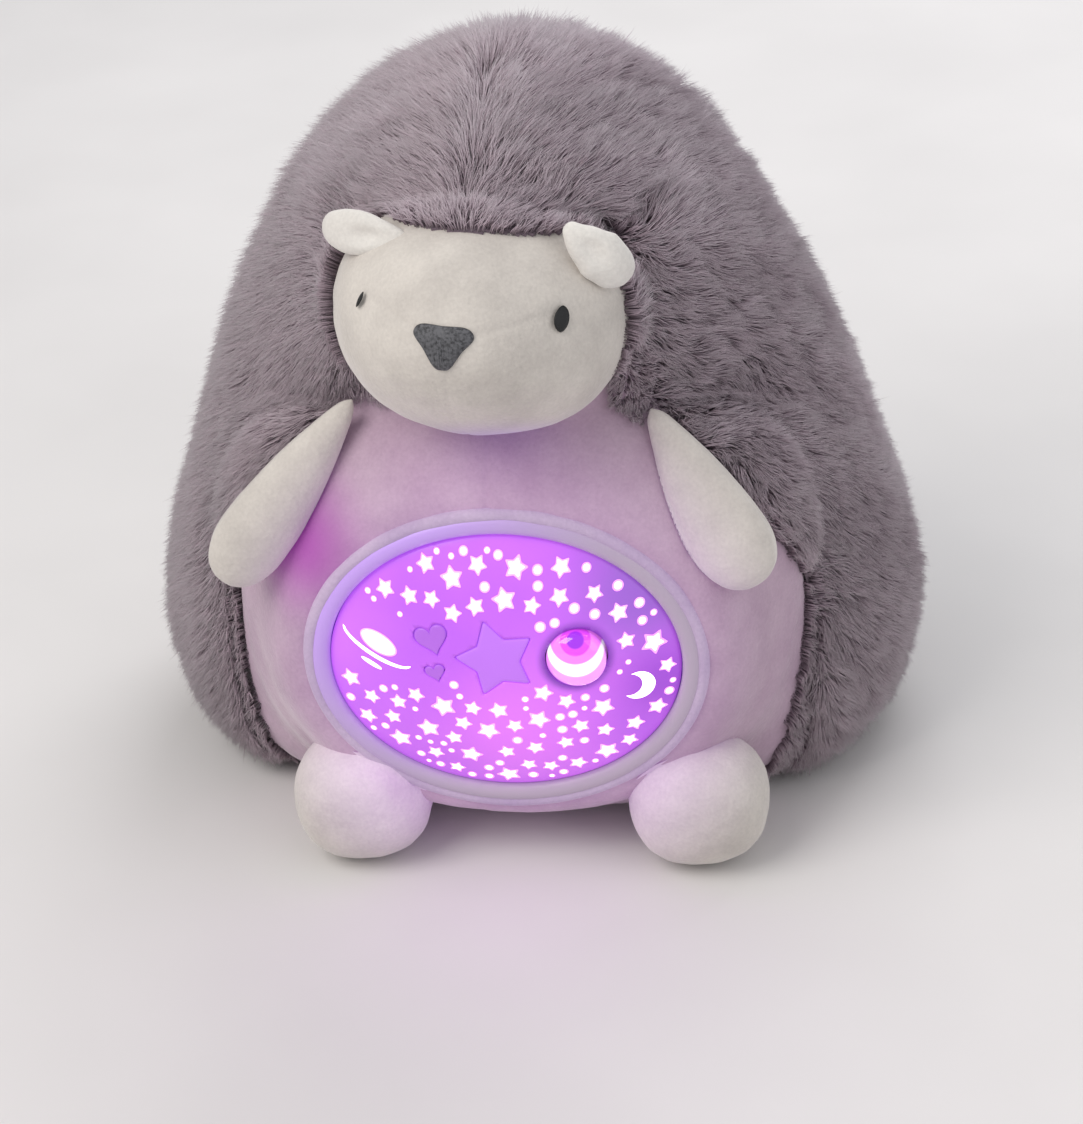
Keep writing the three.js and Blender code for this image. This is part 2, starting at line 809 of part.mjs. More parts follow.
function clearOf(u, v, radius) {
  const zones = [
    [starPlace, starRadius + buttonFlange], [heartPlace, heartWidth / 2 + buttonFlange],
    [smallHeartPlace, smallHeartWidth / 2 + buttonFlange], [lensPlace, lensRadius + barrelWall],
    [planetPlace, planetHalfWidth], [crescentPlace, crescentRadius],
  ]
  return zones.every(([place, reach]) => Math.hypot(u - place[0], v - place[1]) > reach + radius + windowMargin)
}

function makeMask() {
  const below = domeWall + slide
  const inset = -domeWall - slide
  const flangeTop = rimDepth + fit
  const shell = domePlug(below, inset, flangeTop + maskWall, 3)
    .add(ovalPlug(rimFlange, flangeTop, flangeTop + maskWall))
    .subtract(domePlug(below + maskWall, inset - maskWall, flangeTop + overrun, 3))
  const cutters = []
  for (let i = 1; i <= windowCount; i++) {
    const reach = windowReachShare * Math.sqrt(i / windowCount)
    const u = domeHalfWidth * reach * Math.cos(i * goldenAngle)
    const v = domeHalfHeight * reach * Math.sin(i * goldenAngle)
    if (clearOf(u, v, windowStarRadius)) {
      cutters.push(modulePrism(star([u, v], windowStarRadius, starWaistShare, i), -aheadOfDome, overrun))
    }
  }
  cutters.push(modulePrism(ellipse(planetPlace, planetHalfWidth, planetHalfHeight, 12), -aheadOfDome, overrun))
  const bite = crescentPlace.map((at, i) => at + crescentRadius * crescentBiteShares[i])
  cutters.push(modulePrism(ellipse(crescentPlace, crescentRadius, crescentRadius, 14), -aheadOfDome, overrun)
    .subtract(modulePrism(ellipse(bite, crescentRadius, crescentRadius, 14), -2 * aheadOfDome, 2 * overrun)))
  for (const { place, outline } of Object.values(buttons)) {
    const reach = Math.max(...outline(buttonFlange).map((p) => Math.hypot(p.x - place[0], p.y - place[1]))) + slide
    cutters.push(modulePrism(ellipse(place, reach, reach, 16), -aheadOfDome, overrun))
  }
  cutters.push(rod(...lensPlace, lensRadius + barrelWall + fit, -aheadOfDome, overrun, 24))
  addPart('light_mask', 'light_mask', largest(subtractAll(shell, ...cutters)))
}

function makeButtons() {
  const plungerTop = boardDepth - fit - switchHeight - plungerHeight
  for (const [name, { place, outline }] of Object.entries(buttons)) {
    const wide = outline(buttonFlange)
    const flangeTop = Math.max(...wide.map((p) => domeDepth(p.x, p.y))) + domeWall + 3 * fit
    const flange = modulePrism(wide, flangeTop, flangeTop + buttonFlangeDepth)
    const cap = domePlug(-buttonProud, 0, rimDepth)
      .intersect(modulePrism(outline(0), -aheadOfDome, flangeTop + buttonFlangeDepth / 2))
    const stem = rod(...place, stemRadius, flangeTop, plungerTop - fit, 12)
    addPart(`${name}_button`, 'button_lilac', cap.add(flange).add(stem))
    addPart(`${name}_plunger`, 'black_plastic',
      rod(...place, plungerRadius, plungerTop, boardDepth - fit - switchHeight + buttonTravel, 12))

    const half = switchSize / 2
    const [u, v] = place
    const seat = boardDepth - fit - switchHeight
    addPart(`${name}_switch`, 'steel', moduleBox(u - half, u + half, v - half, v + half, seat, boardDepth - fit)
      .subtract(rod(u, v, plungerRadius + fit, seat - overrun, seat + 2 * buttonTravel + fit, 12)))
  }
}

function makeProjector() {
  const barrelInner = lensRadius - barrelWall
  const barrelOuter = lensRadius + barrelWall
  const barrelTop = domeDepth(lensPlace[0] + barrelOuter, lensPlace[1]) + domeWall + 4 * fit
  const lensBack = barrelTop - fit
  const lensEdge = domeDepth(...lensPlace) - fit
  addPart('projection_lens', 'clear_plastic', turned(...lensPlace, [
    ...lensShares.map(([radius, rise]) => [lensRadius * radius, lensEdge - lensRise * rise]),
    [lensRadius, lensBack], [0, lensBack],
  ], 20))
  const ledge = slideDepth + slideThickness + fit
  addPart('lens_barrel', 'black_plastic', turned(...lensPlace, [
    [barrelInner, barrelTop], [barrelOuter, barrelTop], [barrelOuter, boardDepth - fit],
    [barrelInner, boardDepth - fit], [barrelInner, ledge + slideLedge],
    [barrelInner - slideLedge, ledge + slideLedge], [barrelInner - slideLedge, ledge], [barrelInner, ledge],
  ]))
  const film = rod(...lensPlace, barrelInner - fit, slideDepth, slideDepth + slideThickness, 16)
  const holes = Array.from({ length: slideStars }, (_, i) => {
    const angle = (2 * Math.PI * i) / slideStars
    const place = [lensPlace[0] + slideStarReach * Math.cos(angle), lensPlace[1] + slideStarReach * Math.sin(angle)]
    return modulePrism(star(place, slideStarRadius, starWaistShare, angle), slideDepth - overrun, slideDepth + overrun)
  })
  addPart('projector_slide', 'black_plastic', subtractAll(film, ...holes))
  addPart('projector_led', 'led_white', turned(...lensPlace, [
    ...emitterShares.map(([radius, up]) => [emitterRadius * radius, boardDepth - fit - emitterHeight * up]),
    [0, boardDepth - fit],
  ], 14))
}

// Housings, board and what is fixed between them

const bossPlaces = [[1, 1], [-1, 1], [-1, -1], [1, -1]].map(([across, up]) => [
  across * (domeHalfWidth + rimFlange - housingWall - bossRadius + bossSink) * Math.cos(bossTurn),
  up * (domeHalfHeight + rimFlange - housingWall - bossRadius + bossSink) * Math.sin(bossTurn),
])
const houseTop = rimDepth + maskWall + 2 * fit
const boardBack = boardDepth + boardThickness
const clampDepth = bezelDepth + fit

function makeHousings() {
  const boreTop = boardDepth - screwGrip - 2 * screwTip
  const bores = bossPlaces.map((place) => rod(...place, screwRadius + fit, boreTop, rearDepth + overrun, 12))
  let front = ovalRing([
    [rimFlange, houseTop], [rimFlange, clampDepth], [bezelWidth + hemThickness, clampDepth],
    [bezelWidth + hemThickness, clampDepth + clampFlange], [rimFlange, clampDepth + clampFlange],
    [rimFlange, splitDepth], [rimFlange - housingWall, splitDepth], [rimFlange - housingWall, houseTop],
  ])
  for (const place of bossPlaces) {
    front = front.add(rod(...place, bossRadius, houseTop + bossSetback, boardDepth - fit, 12))
  }
  addPart('front_housing', 'white_plastic', subtractAll(front, ...bores))

  let rear = ovalPlug(rimFlange, splitDepth + fit, rearDepth)
    .subtract(ovalPlug(rimFlange - housingWall, splitDepth - overrun, rearDepth - housingWall))
  const inside = ovalPlug(rimFlange - housingWall - fit, 0, rearDepth)
  for (const place of bossPlaces) {
    rear = rear.add(rod(...place, bossRadius, boardBack + fit, rearDepth - weld, 12).intersect(inside))
  }
  rear = rear.add(batteryBox())
  for (const place of grillePlaces()) {
    bores.push(rod(...place, grilleRadius, rearDepth - 2 * housingWall, rearDepth + overrun, 8))
  }
  bores.push(rod(...leadHole, leadRadius + fit, rearDepth - 2 * housingWall, rearDepth + overrun, 8))
  addPart('rear_housing', 'white_plastic', subtractAll(rear, ...bores))

  bossPlaces.forEach((place, i) => {
    addPart(`housing_screw_${i + 1}`, 'steel', turned(...place, [
      [0, rearDepth + fit + screwHeadHeight], [screwHeadRadius * screwSocketShare, rearDepth + fit + screwHeadHeight],
      [screwHeadRadius, rearDepth + fit], [screwRadius, rearDepth + fit],
      [screwRadius, boardDepth - screwGrip], [0, boardDepth - screwGrip - screwTip],
    ], 10))
  })
}

function makeBoard() {
  const out = rimFlange - housingWall - boardInset
  const holes = bossPlaces.map((place) => rod(...place, screwRadius + fit, boardDepth - overrun, boardBack + overrun, 10))
  addPart('main_board', 'board_green', subtractAll(ovalPlug(out, boardDepth, boardBack, 32), ...holes))
  ledPlaces.forEach(([u, v], i) => {
    const half = ledSize / 2
    addPart(`led_${i + 1}`, 'led_white', moduleBox(u - half, u + half, v - half, v + half,
      boardDepth - fit - ledHeight, boardDepth - fit))
  })
  const [u, v] = chipPlace
  addPart('controller_chip', 'black_plastic', moduleBox(
    u - chipSize[0] / 2, u + chipSize[0] / 2, v - chipSize[1] / 2, v + chipSize[1] / 2,
    boardBack + fit, boardBack + fit + chipHeight))
}

// Battery box: its walls, cells, contacts and door

const boxHalfWidth = cellLength / 2 + cellNubLength + boxSpare + boxWall
const boxHalfHeight = (cellPitch * cellCount) / 2 + boxWall
const boxDepth = rearDepth + 2 * cellRadius + 2 * fit + cellSpare
const cellDepth = rearDepth + fit + cellRadius
const leadHole = [-boxHalfWidth + boxWall + leadCorner, -boxDrop + cellPitch / 2]
const doorScrewHeight = boxHalfHeight - boxDrop + doorTabHeight / 2

function batteryBox() {
  const outer = moduleBox(-boxHalfWidth, boxHalfWidth, -boxHalfHeight - boxDrop, boxHalfHeight - boxDrop,
    rearDepth - weld, boxDepth)
  const inner = moduleBox(-boxHalfWidth + boxWall, boxHalfWidth - boxWall,
    -boxHalfHeight - boxDrop + boxWall, boxHalfHeight - boxDrop - boxWall, rearDepth, boxDepth + overrun)
  const boss = rod(0, doorScrewHeight, bossRadius, rearDepth - weld, boxDepth, 14)
  const bore = rod(0, doorScrewHeight, screwRadius + 2 * fit, boxDepth - doorScrewLength, boxDepth + overrun, 12)
  return outer.add(boss).subtract(inner).subtract(bore)
}

function cellHeight(i) {
  return -boxDrop + (i - (cellCount - 1) / 2) * cellPitch
}

// A spring that narrows towards the cell, on a flat strip; it lies along X
function contact(side, v0, v1, springAt) {
  const wall = boxHalfWidth - boxWall - fit
  const edge = side * wall
  const face = side * (wall - contactThickness)
  const [u0, u1] = [Math.min(edge, face), Math.max(edge, face)]
  const strip = moduleBox(u0, u1, v0, v1, cellDepth - contactWidth / 2, cellDepth + contactWidth / 2)
  if (springAt === undefined) return strip
  const length = 2 * (wall - contactThickness - fit) - cellLength - cellNubLength
  class Coil extends THREE.Curve {
    getPoint(t) {
      const angle = 2 * Math.PI * springTurns * t
      const radius = springRadius * (1 - springTaperShare * t)
      return new THREE.Vector3(
        face - side * (t * (length - springWire) - springWire / 2),
        ringFront + cellDepth + radius * Math.cos(angle),
        moduleHeight + springAt + radius * Math.sin(angle),
      )
    }
  }
  const section = new THREE.Shape(oval(springSides, (c, s) => new THREE.Vector2(springWire * c, springWire * s)))
  const coil = new THREE.ExtrudeGeometry(section, {
    steps: springSteps, extrudePath: new Coil(), bevelEnabled: false,
  })
  return strip.add(solid(coil))
}

function makeBatteries() {
  const half = cellLength / 2
  const plate = boxHalfWidth - boxWall - fit - contactThickness
  for (let i = 0; i < cellCount; i++) {
    const pole = i % 2 ? -1 : 1
    const shift = pole * (plate - fit - half - cellNubLength)
    const profile = [
      [0, -half], [cellRadius - cellChamfer, -half], [cellRadius, -half + cellChamfer],
      [cellRadius, half - cellChamfer], [cellRadius - cellChamfer, half],
      [cellNubRadius, half], [cellNubRadius, half + cellNubLength], [0, half + cellNubLength],
      [0, -half],
    ].map(([radius, along]) => new THREE.Vector2(radius, along))
    const cell = new THREE.LatheGeometry(profile, 18).rotateZ(-pole * Math.PI / 2)
    addPart(`battery_${i + 1}`, 'cell_jacket', solid(cell.translate(
      shift, ringFront + cellDepth, moduleHeight + cellHeight(i))))
  }
  const reach = contactWidth / 2
  addPart('contact_minus', 'steel', contact(-1, cellHeight(0) - reach, cellHeight(0) + reach, cellHeight(0)))
  addPart('contact_link_1', 'steel', contact(1, cellHeight(0) - reach, cellHeight(1) + reach, cellHeight(1)))
  addPart('contact_link_2', 'steel', contact(-1, cellHeight(1) - reach, cellHeight(2) + reach, cellHeight(2)))
  addPart('contact_plus', 'steel', contact(1, cellHeight(2) - reach, cellHeight(2) + reach))
}

function makeBatteryDoor() {
  const top = boxHalfHeight - boxDrop
  const [w0, w1] = [boxDepth + fit, boxDepth + fit + doorThickness]
  const door = moduleBox(-boxHalfWidth, boxHalfWidth, -boxHalfHeight - boxDrop, top, w0, w1)
    .add(moduleBox(-doorTabWidth / 2, doorTabWidth / 2, top - weld, top + doorTabHeight, w0, w1))
    .subtract(rod(0, doorScrewHeight, screwRadius + fit, w0 - overrun, w1 + overrun, 12))
  let ribbed = door
  for (const share of doorRibShares) {
    const v = -boxDrop + share * boxHalfHeight
    ribbed = ribbed.add(moduleBox(-boxHalfWidth / 3, boxHalfWidth / 3, v - doorRibHalfHeight, v + doorRibHalfHeight,
      w0, w1 + doorRibRise))
  }
  addPart('battery_door', 'white_plastic', ribbed)
  addPart('door_screw', 'steel', turned(0, doorScrewHeight, [
    [0, w1 + fit + screwHeadHeight], [screwHeadRadius * screwSocketShare, w1 + fit + screwHeadHeight],
    [screwHeadRadius, w1 + fit], [screwRadius, w1 + fit],
    [screwRadius, w0 - doorScrewGrip], [0, w0 - doorScrewGrip - weld],
  ], 12))
}

// Loudspeaker behind the grille, above the battery box

function grillePlaces() {
  const places = [[0, grilleRise]]
  for (let i = 0; i < grilleCount; i++) {
    const angle = (2 * Math.PI * i) / grilleCount
    places.push([grilleReach * Math.cos(angle), grilleRise + grilleReach * Math.sin(angle)])
  }
  return places
}

function makeSpeaker() {
  const rim = rearDepth - housingWall - fit
  const throat = rim - speakerDepth
  const lip = speakerRadius - frameLip
  addPart('speaker_frame', 'steel', turned(0, speakerRise, [
    [speakerRadius, rim], [speakerRadius, rim - frameRim], [magnetRadius + frameWall, throat], [frameHole, throat],
    [frameHole, throat + frameWall], [magnetRadius, throat + frameWall], [lip, rim - frameRim], [lip, rim],
  ], 22))
  const back = throat + frameWall + fit
  const edge = rim - coneGap
  addPart('speaker_cone', 'cone_paper', turned(0, speakerRise, [
    [0, throat + coneDip], [coneCapRadius, throat + coneDip + coneCapRise], [lip - coneGap, edge],
    [lip - coneGap, edge - coneWall], [magnetRadius, back + coneWall], [coneThroatRadius, back], [0, back],
  ], 20))
  addPart('speaker_magnet', 'magnet', turned(0, speakerRise, [
    [0, throat - fit - magnetDepth], [magnetRadius, throat - fit - magnetDepth], [magnetRadius, throat - fit],
    [0, throat - fit],
  ], 18))
}

// A lead is one tube along points given as [across, up, depth]
function lead(points) {
  const placed = points.map(([u, v, w]) => new THREE.Vector3(u, ringFront + w, moduleHeight + v))
  const curve = new THREE.CatmullRomCurve3(placed)
  const section = new THREE.Shape(oval(leadSides, (c, s) => new THREE.Vector2(leadRadius * c, leadRadius * s)))
  return solid(new THREE.ExtrudeGeometry(section, { steps: leadSteps, extrudePath: curve, bevelEnabled: false }))
}

function makeLeads() {
  const [u, v] = leadHole
  const inner = boardBack + fit
  addPart('battery_lead', 'lead_red', lead([
    [u, v, rearDepth + weld], [u, v, rearDepth - 2 * housingWall], [u + leadSag, v - leadSag, (rearDepth + inner) / 2],
    [u, v - leadSag, inner + leadFoot], [u, v - leadSag, inner],
  ]))
  const rim = rearDepth - housingWall - fit
  const out = speakerRadius + leadRadius + 2 * fit
  addPart('speaker_lead', 'lead_black', lead([
    [-out, speakerRise, rim - weld], [-out, speakerRise - leadSag, rim - speakerDepth],
    [-out + leadSag, speakerRise - leadFall, (rim + inner) / 2],
    [-out, speakerRise - leadFall, inner + leadFoot], [-out, speakerRise - leadFall, inner],
  ]))
}

makeCoat()
makeStuffing()
makeBellyPanel()
makeBasePanel()
makeHead()
makeLimbs()
makeBackAccess()
makeFront()
makeMask()
makeButtons()
makeProjector()
makeHousings()
makeBoard()
makeBatteries()
makeBatteryDoor()
makeSpeaker()
makeLeads()

export default hedgehog
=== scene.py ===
"""Looks of the plush hedgehog night light over its CAD frame. Metres, +Z up, the face looks along -Y."""
import json
import math

import bpy
import numpy as np
from mathutils import Matrix, Vector, geometry, kdtree


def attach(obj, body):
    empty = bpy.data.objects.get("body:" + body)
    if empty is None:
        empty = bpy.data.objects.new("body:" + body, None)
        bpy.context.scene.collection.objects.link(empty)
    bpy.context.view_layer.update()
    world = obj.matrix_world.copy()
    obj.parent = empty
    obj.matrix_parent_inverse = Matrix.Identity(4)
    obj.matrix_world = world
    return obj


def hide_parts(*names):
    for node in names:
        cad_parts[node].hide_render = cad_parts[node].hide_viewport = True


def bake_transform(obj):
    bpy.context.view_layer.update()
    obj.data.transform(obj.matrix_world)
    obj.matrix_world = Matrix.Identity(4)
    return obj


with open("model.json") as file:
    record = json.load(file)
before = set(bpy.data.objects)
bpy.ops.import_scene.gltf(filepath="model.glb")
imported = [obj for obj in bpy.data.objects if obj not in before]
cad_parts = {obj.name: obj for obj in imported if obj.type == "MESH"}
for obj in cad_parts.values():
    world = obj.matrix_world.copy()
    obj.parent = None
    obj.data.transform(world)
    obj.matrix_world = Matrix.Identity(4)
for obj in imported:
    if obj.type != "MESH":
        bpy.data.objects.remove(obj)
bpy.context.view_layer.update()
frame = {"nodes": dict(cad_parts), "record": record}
MM = 0.001


def scene_object(name, data):
    thing = bpy.data.objects.new(name, data)
    bpy.context.scene.collection.objects.link(thing)
    return thing


# ---------------------------------------------------------------- camera

BODY_BACK = 12.44
AZIMUTH, ELEVATION, ROLL = math.radians(7.1), math.radians(30), math.radians(-3.1)
TARGET, REACH = np.array([0, BODY_BACK - 15, 120]), 1000
PHOTO_WIDTH, PHOTO_HEIGHT, TARGET_PX, FOCAL_PX, SENSOR = 1083, 1124, (536, 406), 3029, 36


def make_camera():
    """The photograph's camera: 1 m off, 30 degrees up, rolled a little, framed with no lens shift."""
    back = np.array([math.sin(AZIMUTH) * math.cos(ELEVATION), -math.cos(AZIMUTH) * math.cos(ELEVATION),
                     math.sin(ELEVATION)])
    right = np.array([math.cos(AZIMUTH), math.sin(AZIMUTH), 0])
    up = np.cross(back, right)
    aside = (TARGET_PX[0] - PHOTO_WIDTH / 2) / FOCAL_PX * REACH
    down = (TARGET_PX[1] - PHOTO_HEIGHT / 2) / FOCAL_PX * REACH
    eye = TARGET + back * REACH - right * aside + up * down
    rolled_right = right * math.cos(ROLL) + up * math.sin(ROLL)
    rolled_up = up * math.cos(ROLL) - right * math.sin(ROLL)
    camera = scene_object("camera", bpy.data.cameras.new("camera"))
    rows = np.stack([rolled_right, rolled_up, back, eye * MM], -1).tolist()
    camera.matrix_world = Matrix([*rows, [0, 0, 0, 1]])
    camera.data.sensor_width = SENSOR
    camera.data.lens = SENSOR * FOCAL_PX / PHOTO_HEIGHT
    camera.data.clip_start = 0.05
    bpy.context.scene.camera = camera


# ---------------------------------------------------------------- shapes shared with the CAD, in mm

BODY_HEIGHT, BODY_HALF, BODY_LEAN = 250, 132, 8
PILE, SKIN = 14, 2.5
BODY = [  # height, half-width, front reach, back reach
    [0, 0.72, 0.6, 0.6], [0.05, 0.93, 0.74, 0.77], [0.16, 1, 0.8, 0.82], [0.28, 0.975, 0.78, 0.8],
    [0.42, 0.89, 0.72, 0.735], [0.58, 0.78, 0.66, 0.645], [0.72, 0.645, 0.7, 0.54], [0.85, 0.485, 0.745, 0.41],
    [0.95, 0.26, 0.52, 0.23], [1, 0, 0, 0]]
BELLY_SIZE, BELLY_DROP, BELLY_POWER = (95, 82, 95), 74, 2.6
BELLY_Y, BELLY_Z = BODY_BACK - 30, 72
BLEND = 6.0  # how softly belly and body run into each other
OPENING_BACK, OPENING_TOP, OPENING_HALF = BODY_BACK - 27, 217, 93
OPENING = [[0, 0.86], [0.1, 0.97], [0.28, 1], [0.42, 0.97], [0.56, 0.8], [0.69, 0.53], [0.8, 0.44], [0.9, 0.42],
           [0.97, 0.36], [1, 0]]
HEAD_AT, HEAD_SIZE, CHIN_DROP, HEAD_POWER = (-3, BODY_BACK - 83, 189), (44.8, 39, 34), 38, 2.15
SNOUT_REACH, SNOUT_WIDTH = 9, math.radians(34)
HEAD_PITCH, HEAD_YAW, HEAD_ROLL = math.radians(9), math.radians(-6.5), math.radians(3)
NOSE_WIDTH, NOSE_HEIGHT, NOSE_RISE = 18, 12.8, 0.9
EYE_SPREAD, EYE_RISE = 30, 8
THREAD_WIDTH = 0.7
RING_FRONT, MODULE_Z = BODY_BACK - 105, 77
DOME_U, DOME_V, DOME_RISE = 55, 45.6, 14
STAR_AT, STAR_RADIUS, STAR_WAIST, STAR_TURN = (-1, 8.6), 13, 0.56, math.radians(-2)
HEARTS = {"heart": ((-21, 14.5), 10.6), "heart_small": ((-20.3, 3.3), 6.4)}
HEART_TURN = math.radians(18)
LENS_AT, LENS_RADIUS = (23.5, 8.3), 9.3
PLANET_AT, CRESCENT_AT = (-39, 9), (42, -4.5)


def spline(points, t):
    """Catmull-Rom through its knots, with t from 0 to 1."""
    points = np.asarray(points, float)
    last = len(points) - 1
    p = last * np.clip(np.asarray(t, float), 0, 1)
    i = np.minimum(p.astype(int), last)
    w = (p - i)[..., None]
    p0, p1 = points[np.maximum(i - 1, 0)], points[i]
    p2, p3 = points[np.minimum(i + 1, last)], points[np.minimum(i + 2, last)]
    v0, v1 = (p2 - p0) / 2, (p3 - p1) / 2
    return (2 * p1 - 2 * p2 + v0 + v1) * w ** 3 + (3 * p2 - 3 * p1 - 2 * v0 - v1) * w ** 2 + v0 * w + p1


BODY_CURVE, OPENING_CURVE = (spline(knots, np.linspace(0, 1, 900)) for knots in (BODY, OPENING))


def level(z, grow):
    """Half-width, front reach, back reach and middle of the body at a height."""
    up = np.clip(np.asarray(z, float) / (BODY_HEIGHT + grow), 0, 1)
    size = BODY_HALF + grow
    width, front, back = (np.maximum(np.interp(up, BODY_CURVE[:, 0], BODY_CURVE[:, k]), 0) * size for k in (1, 2, 3))
    return width, front, back, BODY_BACK - BODY_LEAN * up


def opening_half(z):
    """Half-width of the coat's front opening at a height; less than 0 above it."""
    z = np.asarray(z, float)
    half = np.interp(z / OPENING_TOP, OPENING_CURVE[:, 0], OPENING_CURVE[:, 1]) * OPENING_HALF
    return np.where(z > OPENING_TOP, -1, half)


def in_opening(p, grow=0):
    return (np.abs(p[:, 0]) < opening_half(p[:, 2] - grow) + grow) & (p[:, 1] < OPENING_BACK + grow)


def body_depth(p, grow):
    """Roughly how deep points lie inside the body; less than 0 outside."""
    width, front, back, middle = level(p[:, 2], grow)
    rel = p[:, 1] - middle
    reach = np.where(rel < 0, front, back)
    q = np.sqrt((p[:, 0] / np.maximum(width, 1e-6)) ** 2 + (rel / np.maximum(reach, 1e-6)) ** 2)
    return np.where(p[:, 2] > BODY_HEIGHT + grow, -1, (1 - q) * np.minimum(width, reach))


def belly_y(x, z, grow):
    """The belly's front surface; far back where there is none."""
    a, b = BELLY_SIZE[0] + grow, BELLY_SIZE[1] + grow
    dz = np.asarray(z, float) - BELLY_Z
    c = np.where(dz < 0, BELLY_DROP, BELLY_SIZE[2]) + grow
    rest = 1 - np.abs(x / a) ** BELLY_POWER - np.abs(dz / c) ** BELLY_POWER
    return np.where(rest > 0, BELLY_Y - b * np.maximum(rest, 0) ** (1 / BELLY_POWER), 1000)


def body_y(x, z, grow):
    width, front, _, middle = level(z, grow)
    rest = 1 - (x / np.maximum(width, 1e-6)) ** 2
    return np.where(rest > 0, middle - front * np.sqrt(np.maximum(rest, 0)), 1000)


def eased(t):
    """From 0 to 1 with a soft start and end."""
    t = np.clip(t, 0, 1)
    return t * t * (3 - 2 * t)


def dome_w(u, v):
    """How far behind the ring the dome's surface lies; less than 0 in front of it."""
    return -DOME_RISE * (1 - (u / DOME_U) ** 2 - (v / DOME_V) ** 2)


def off_oval(x, z):
    """Roughly how far outside the lit oval a place seen from the front lies."""
    return (np.hypot(x / DOME_U, (z - MODULE_Z) / DOME_V) - 1) * math.sqrt(DOME_U * DOME_V)


def tent(x, y, z, reach=20):
    """The cloth's depth, drawn forward to the edge of the ring round the lit oval."""
    hold = 1 - eased((off_oval(x, z) - 7) / reach)
    return np.where(y < 0, np.minimum(y, y * (1 - hold) + (RING_FRONT + 0.4) * hold), y)


def front_y(x, z, grow=SKIN):
    """The plush surface that faces the front, belly or chest, whichever lies further out."""
    return tent(x, np.minimum(body_y(x, z, grow - PILE), belly_y(x, z, grow - SKIN)), z)


def plush_radius(z, t, grow):
    """How far belly and body together reach from their axis; the angle counts from straight ahead."""
    z, t = np.broadcast_arrays(np.asarray(z, float), t)
    width, front, back, middle = level(z, grow - PILE)
    s, k, off = np.sin(t), np.cos(t), axis_y(z) - middle

    def ray(reach):
        qa = (s / np.maximum(width, 1e-6)) ** 2 + (k / np.maximum(reach, 1e-6)) ** 2
        qb, qc = -2 * off * k / np.maximum(reach, 1e-6) ** 2, (off / np.maximum(reach, 1e-6)) ** 2 - 1
        return (-qb + np.sqrt(np.maximum(qb ** 2 - 4 * qa * qc, 0))) / (2 * qa)

    ahead = ray(front)
    body = np.where(off - ahead * k < 0, ahead, ray(back))
    a, b = BELLY_SIZE[0] + grow - SKIN, BELLY_SIZE[1] + grow - SKIN
    dz = z - BELLY_Z
    c = np.where(dz < 0, BELLY_DROP, BELLY_SIZE[2]) + grow - SKIN
    cap = np.maximum(1 - np.abs(dz / c) ** BELLY_POWER, 0) ** (1 / BELLY_POWER)
    belly = cap / ((np.abs(s) / a) ** BELLY_POWER + (np.abs(k) / b) ** BELLY_POWER) ** (1 / BELLY_POWER)
    h = np.clip(0.5 + 0.5 * (belly - body) / BLEND, 0, 1)
    return body * (1 - h) + belly * h + BLEND * h * (1 - h) * 0.6


def axis_y(z):
    """Where the axis that the plush is measured from stands: in the belly, and above it in the body's middle."""
    t = eased((z - 166) / 50)
    return BELLY_Y * (1 - t) + (BODY_BACK - BODY_LEAN * z / BODY_HEIGHT) * t


def plush_points(z, t, grow):
    z, t = np.broadcast_arrays(np.asarray(z, float), t)
    r = plush_radius(z, t, grow)
    return np.stack([r * np.sin(t), axis_y(z) - r * np.cos(t), z], -1)


def coat_edge(z, grow=SKIN):
    """The angle at which the coat starts beside its front opening."""
    if z >= OPENING_TOP:
        return 0.0
    t = np.linspace(0, np.pi, 1500)
    p = plush_points(z, t, grow)
    beyond = (p[:, 0] > opening_half(z)) | (p[:, 1] > OPENING_BACK)
    return float(t[np.argmax(beyond)])


def turn(x=0, y=0, z=0):
    cx, sx, cy, sy, cz, sz = (f(a) for a in (x, y, z) for f in (math.cos, math.sin))
    rx = np.array([[1, 0, 0], [0, cx, -sx], [0, sx, cx]])
    ry = np.array([[cy, 0, sy], [0, 1, 0], [-sy, 0, cy]])
    rz = np.array([[cz, -sz, 0], [sz, cz, 0], [0, 0, 1]])
    return rz @ ry @ rx


HEAD_TURN = turn(-HEAD_PITCH, HEAD_ROLL, HEAD_YAW)


def head_radius(d, grow=0):
    """Distance from the head's middle to its skin along unit directions in the head's own frame."""
    a, b, c = (s + grow for s in HEAD_SIZE)
    c = np.where(d[:, 2] < 0, CHIN_DROP + grow, c)
    size = sum(np.abs(d[:, k] / half) ** HEAD_POWER for k, half in enumerate((a, b, c)))
    angle = np.arccos(np.clip(-d[:, 1], -1, 1))
    return size ** (-1 / HEAD_POWER) + SNOUT_REACH * np.exp(-(angle / SNOUT_WIDTH) ** 2)


def head_depth(p):
    """How deep points lie inside the head."""
    q = (p - HEAD_AT) @ HEAD_TURN
    far = np.linalg.norm(q, axis=1)
    return head_radius(q / np.maximum(far, 1e-9)[:, None]) - far


def around(count):
    return 2 * np.pi * np.arange(count) / count


def sphere_points(rings, segments):
    """Directions on a sphere with its poles on the Y axis, with the faces of the closed grid."""
    lat = np.pi * np.arange(1, rings) / rings
    lo = around(segments)
    la, lo = np.meshgrid(lat, lo, indexing="ij")
    points = np.stack([np.sin(la) * np.cos(lo), -np.cos(la), np.sin(la) * np.sin(lo)], -1).reshape(-1, 3)
    points = np.vstack([points, [0, -1, 0], [0, 1, 0]])
    front, back, n = len(points) - 2, len(points) - 1, (rings - 2) * segments
    faces = []
    for j in range(segments):
        k = (j + 1) % segments
        faces += [(a + j, a + segments + j, a + segments + k, a + k) for a in range(0, n, segments)]
        faces += [(front, j, k), (back, n + k, n + j)]
    return points, faces


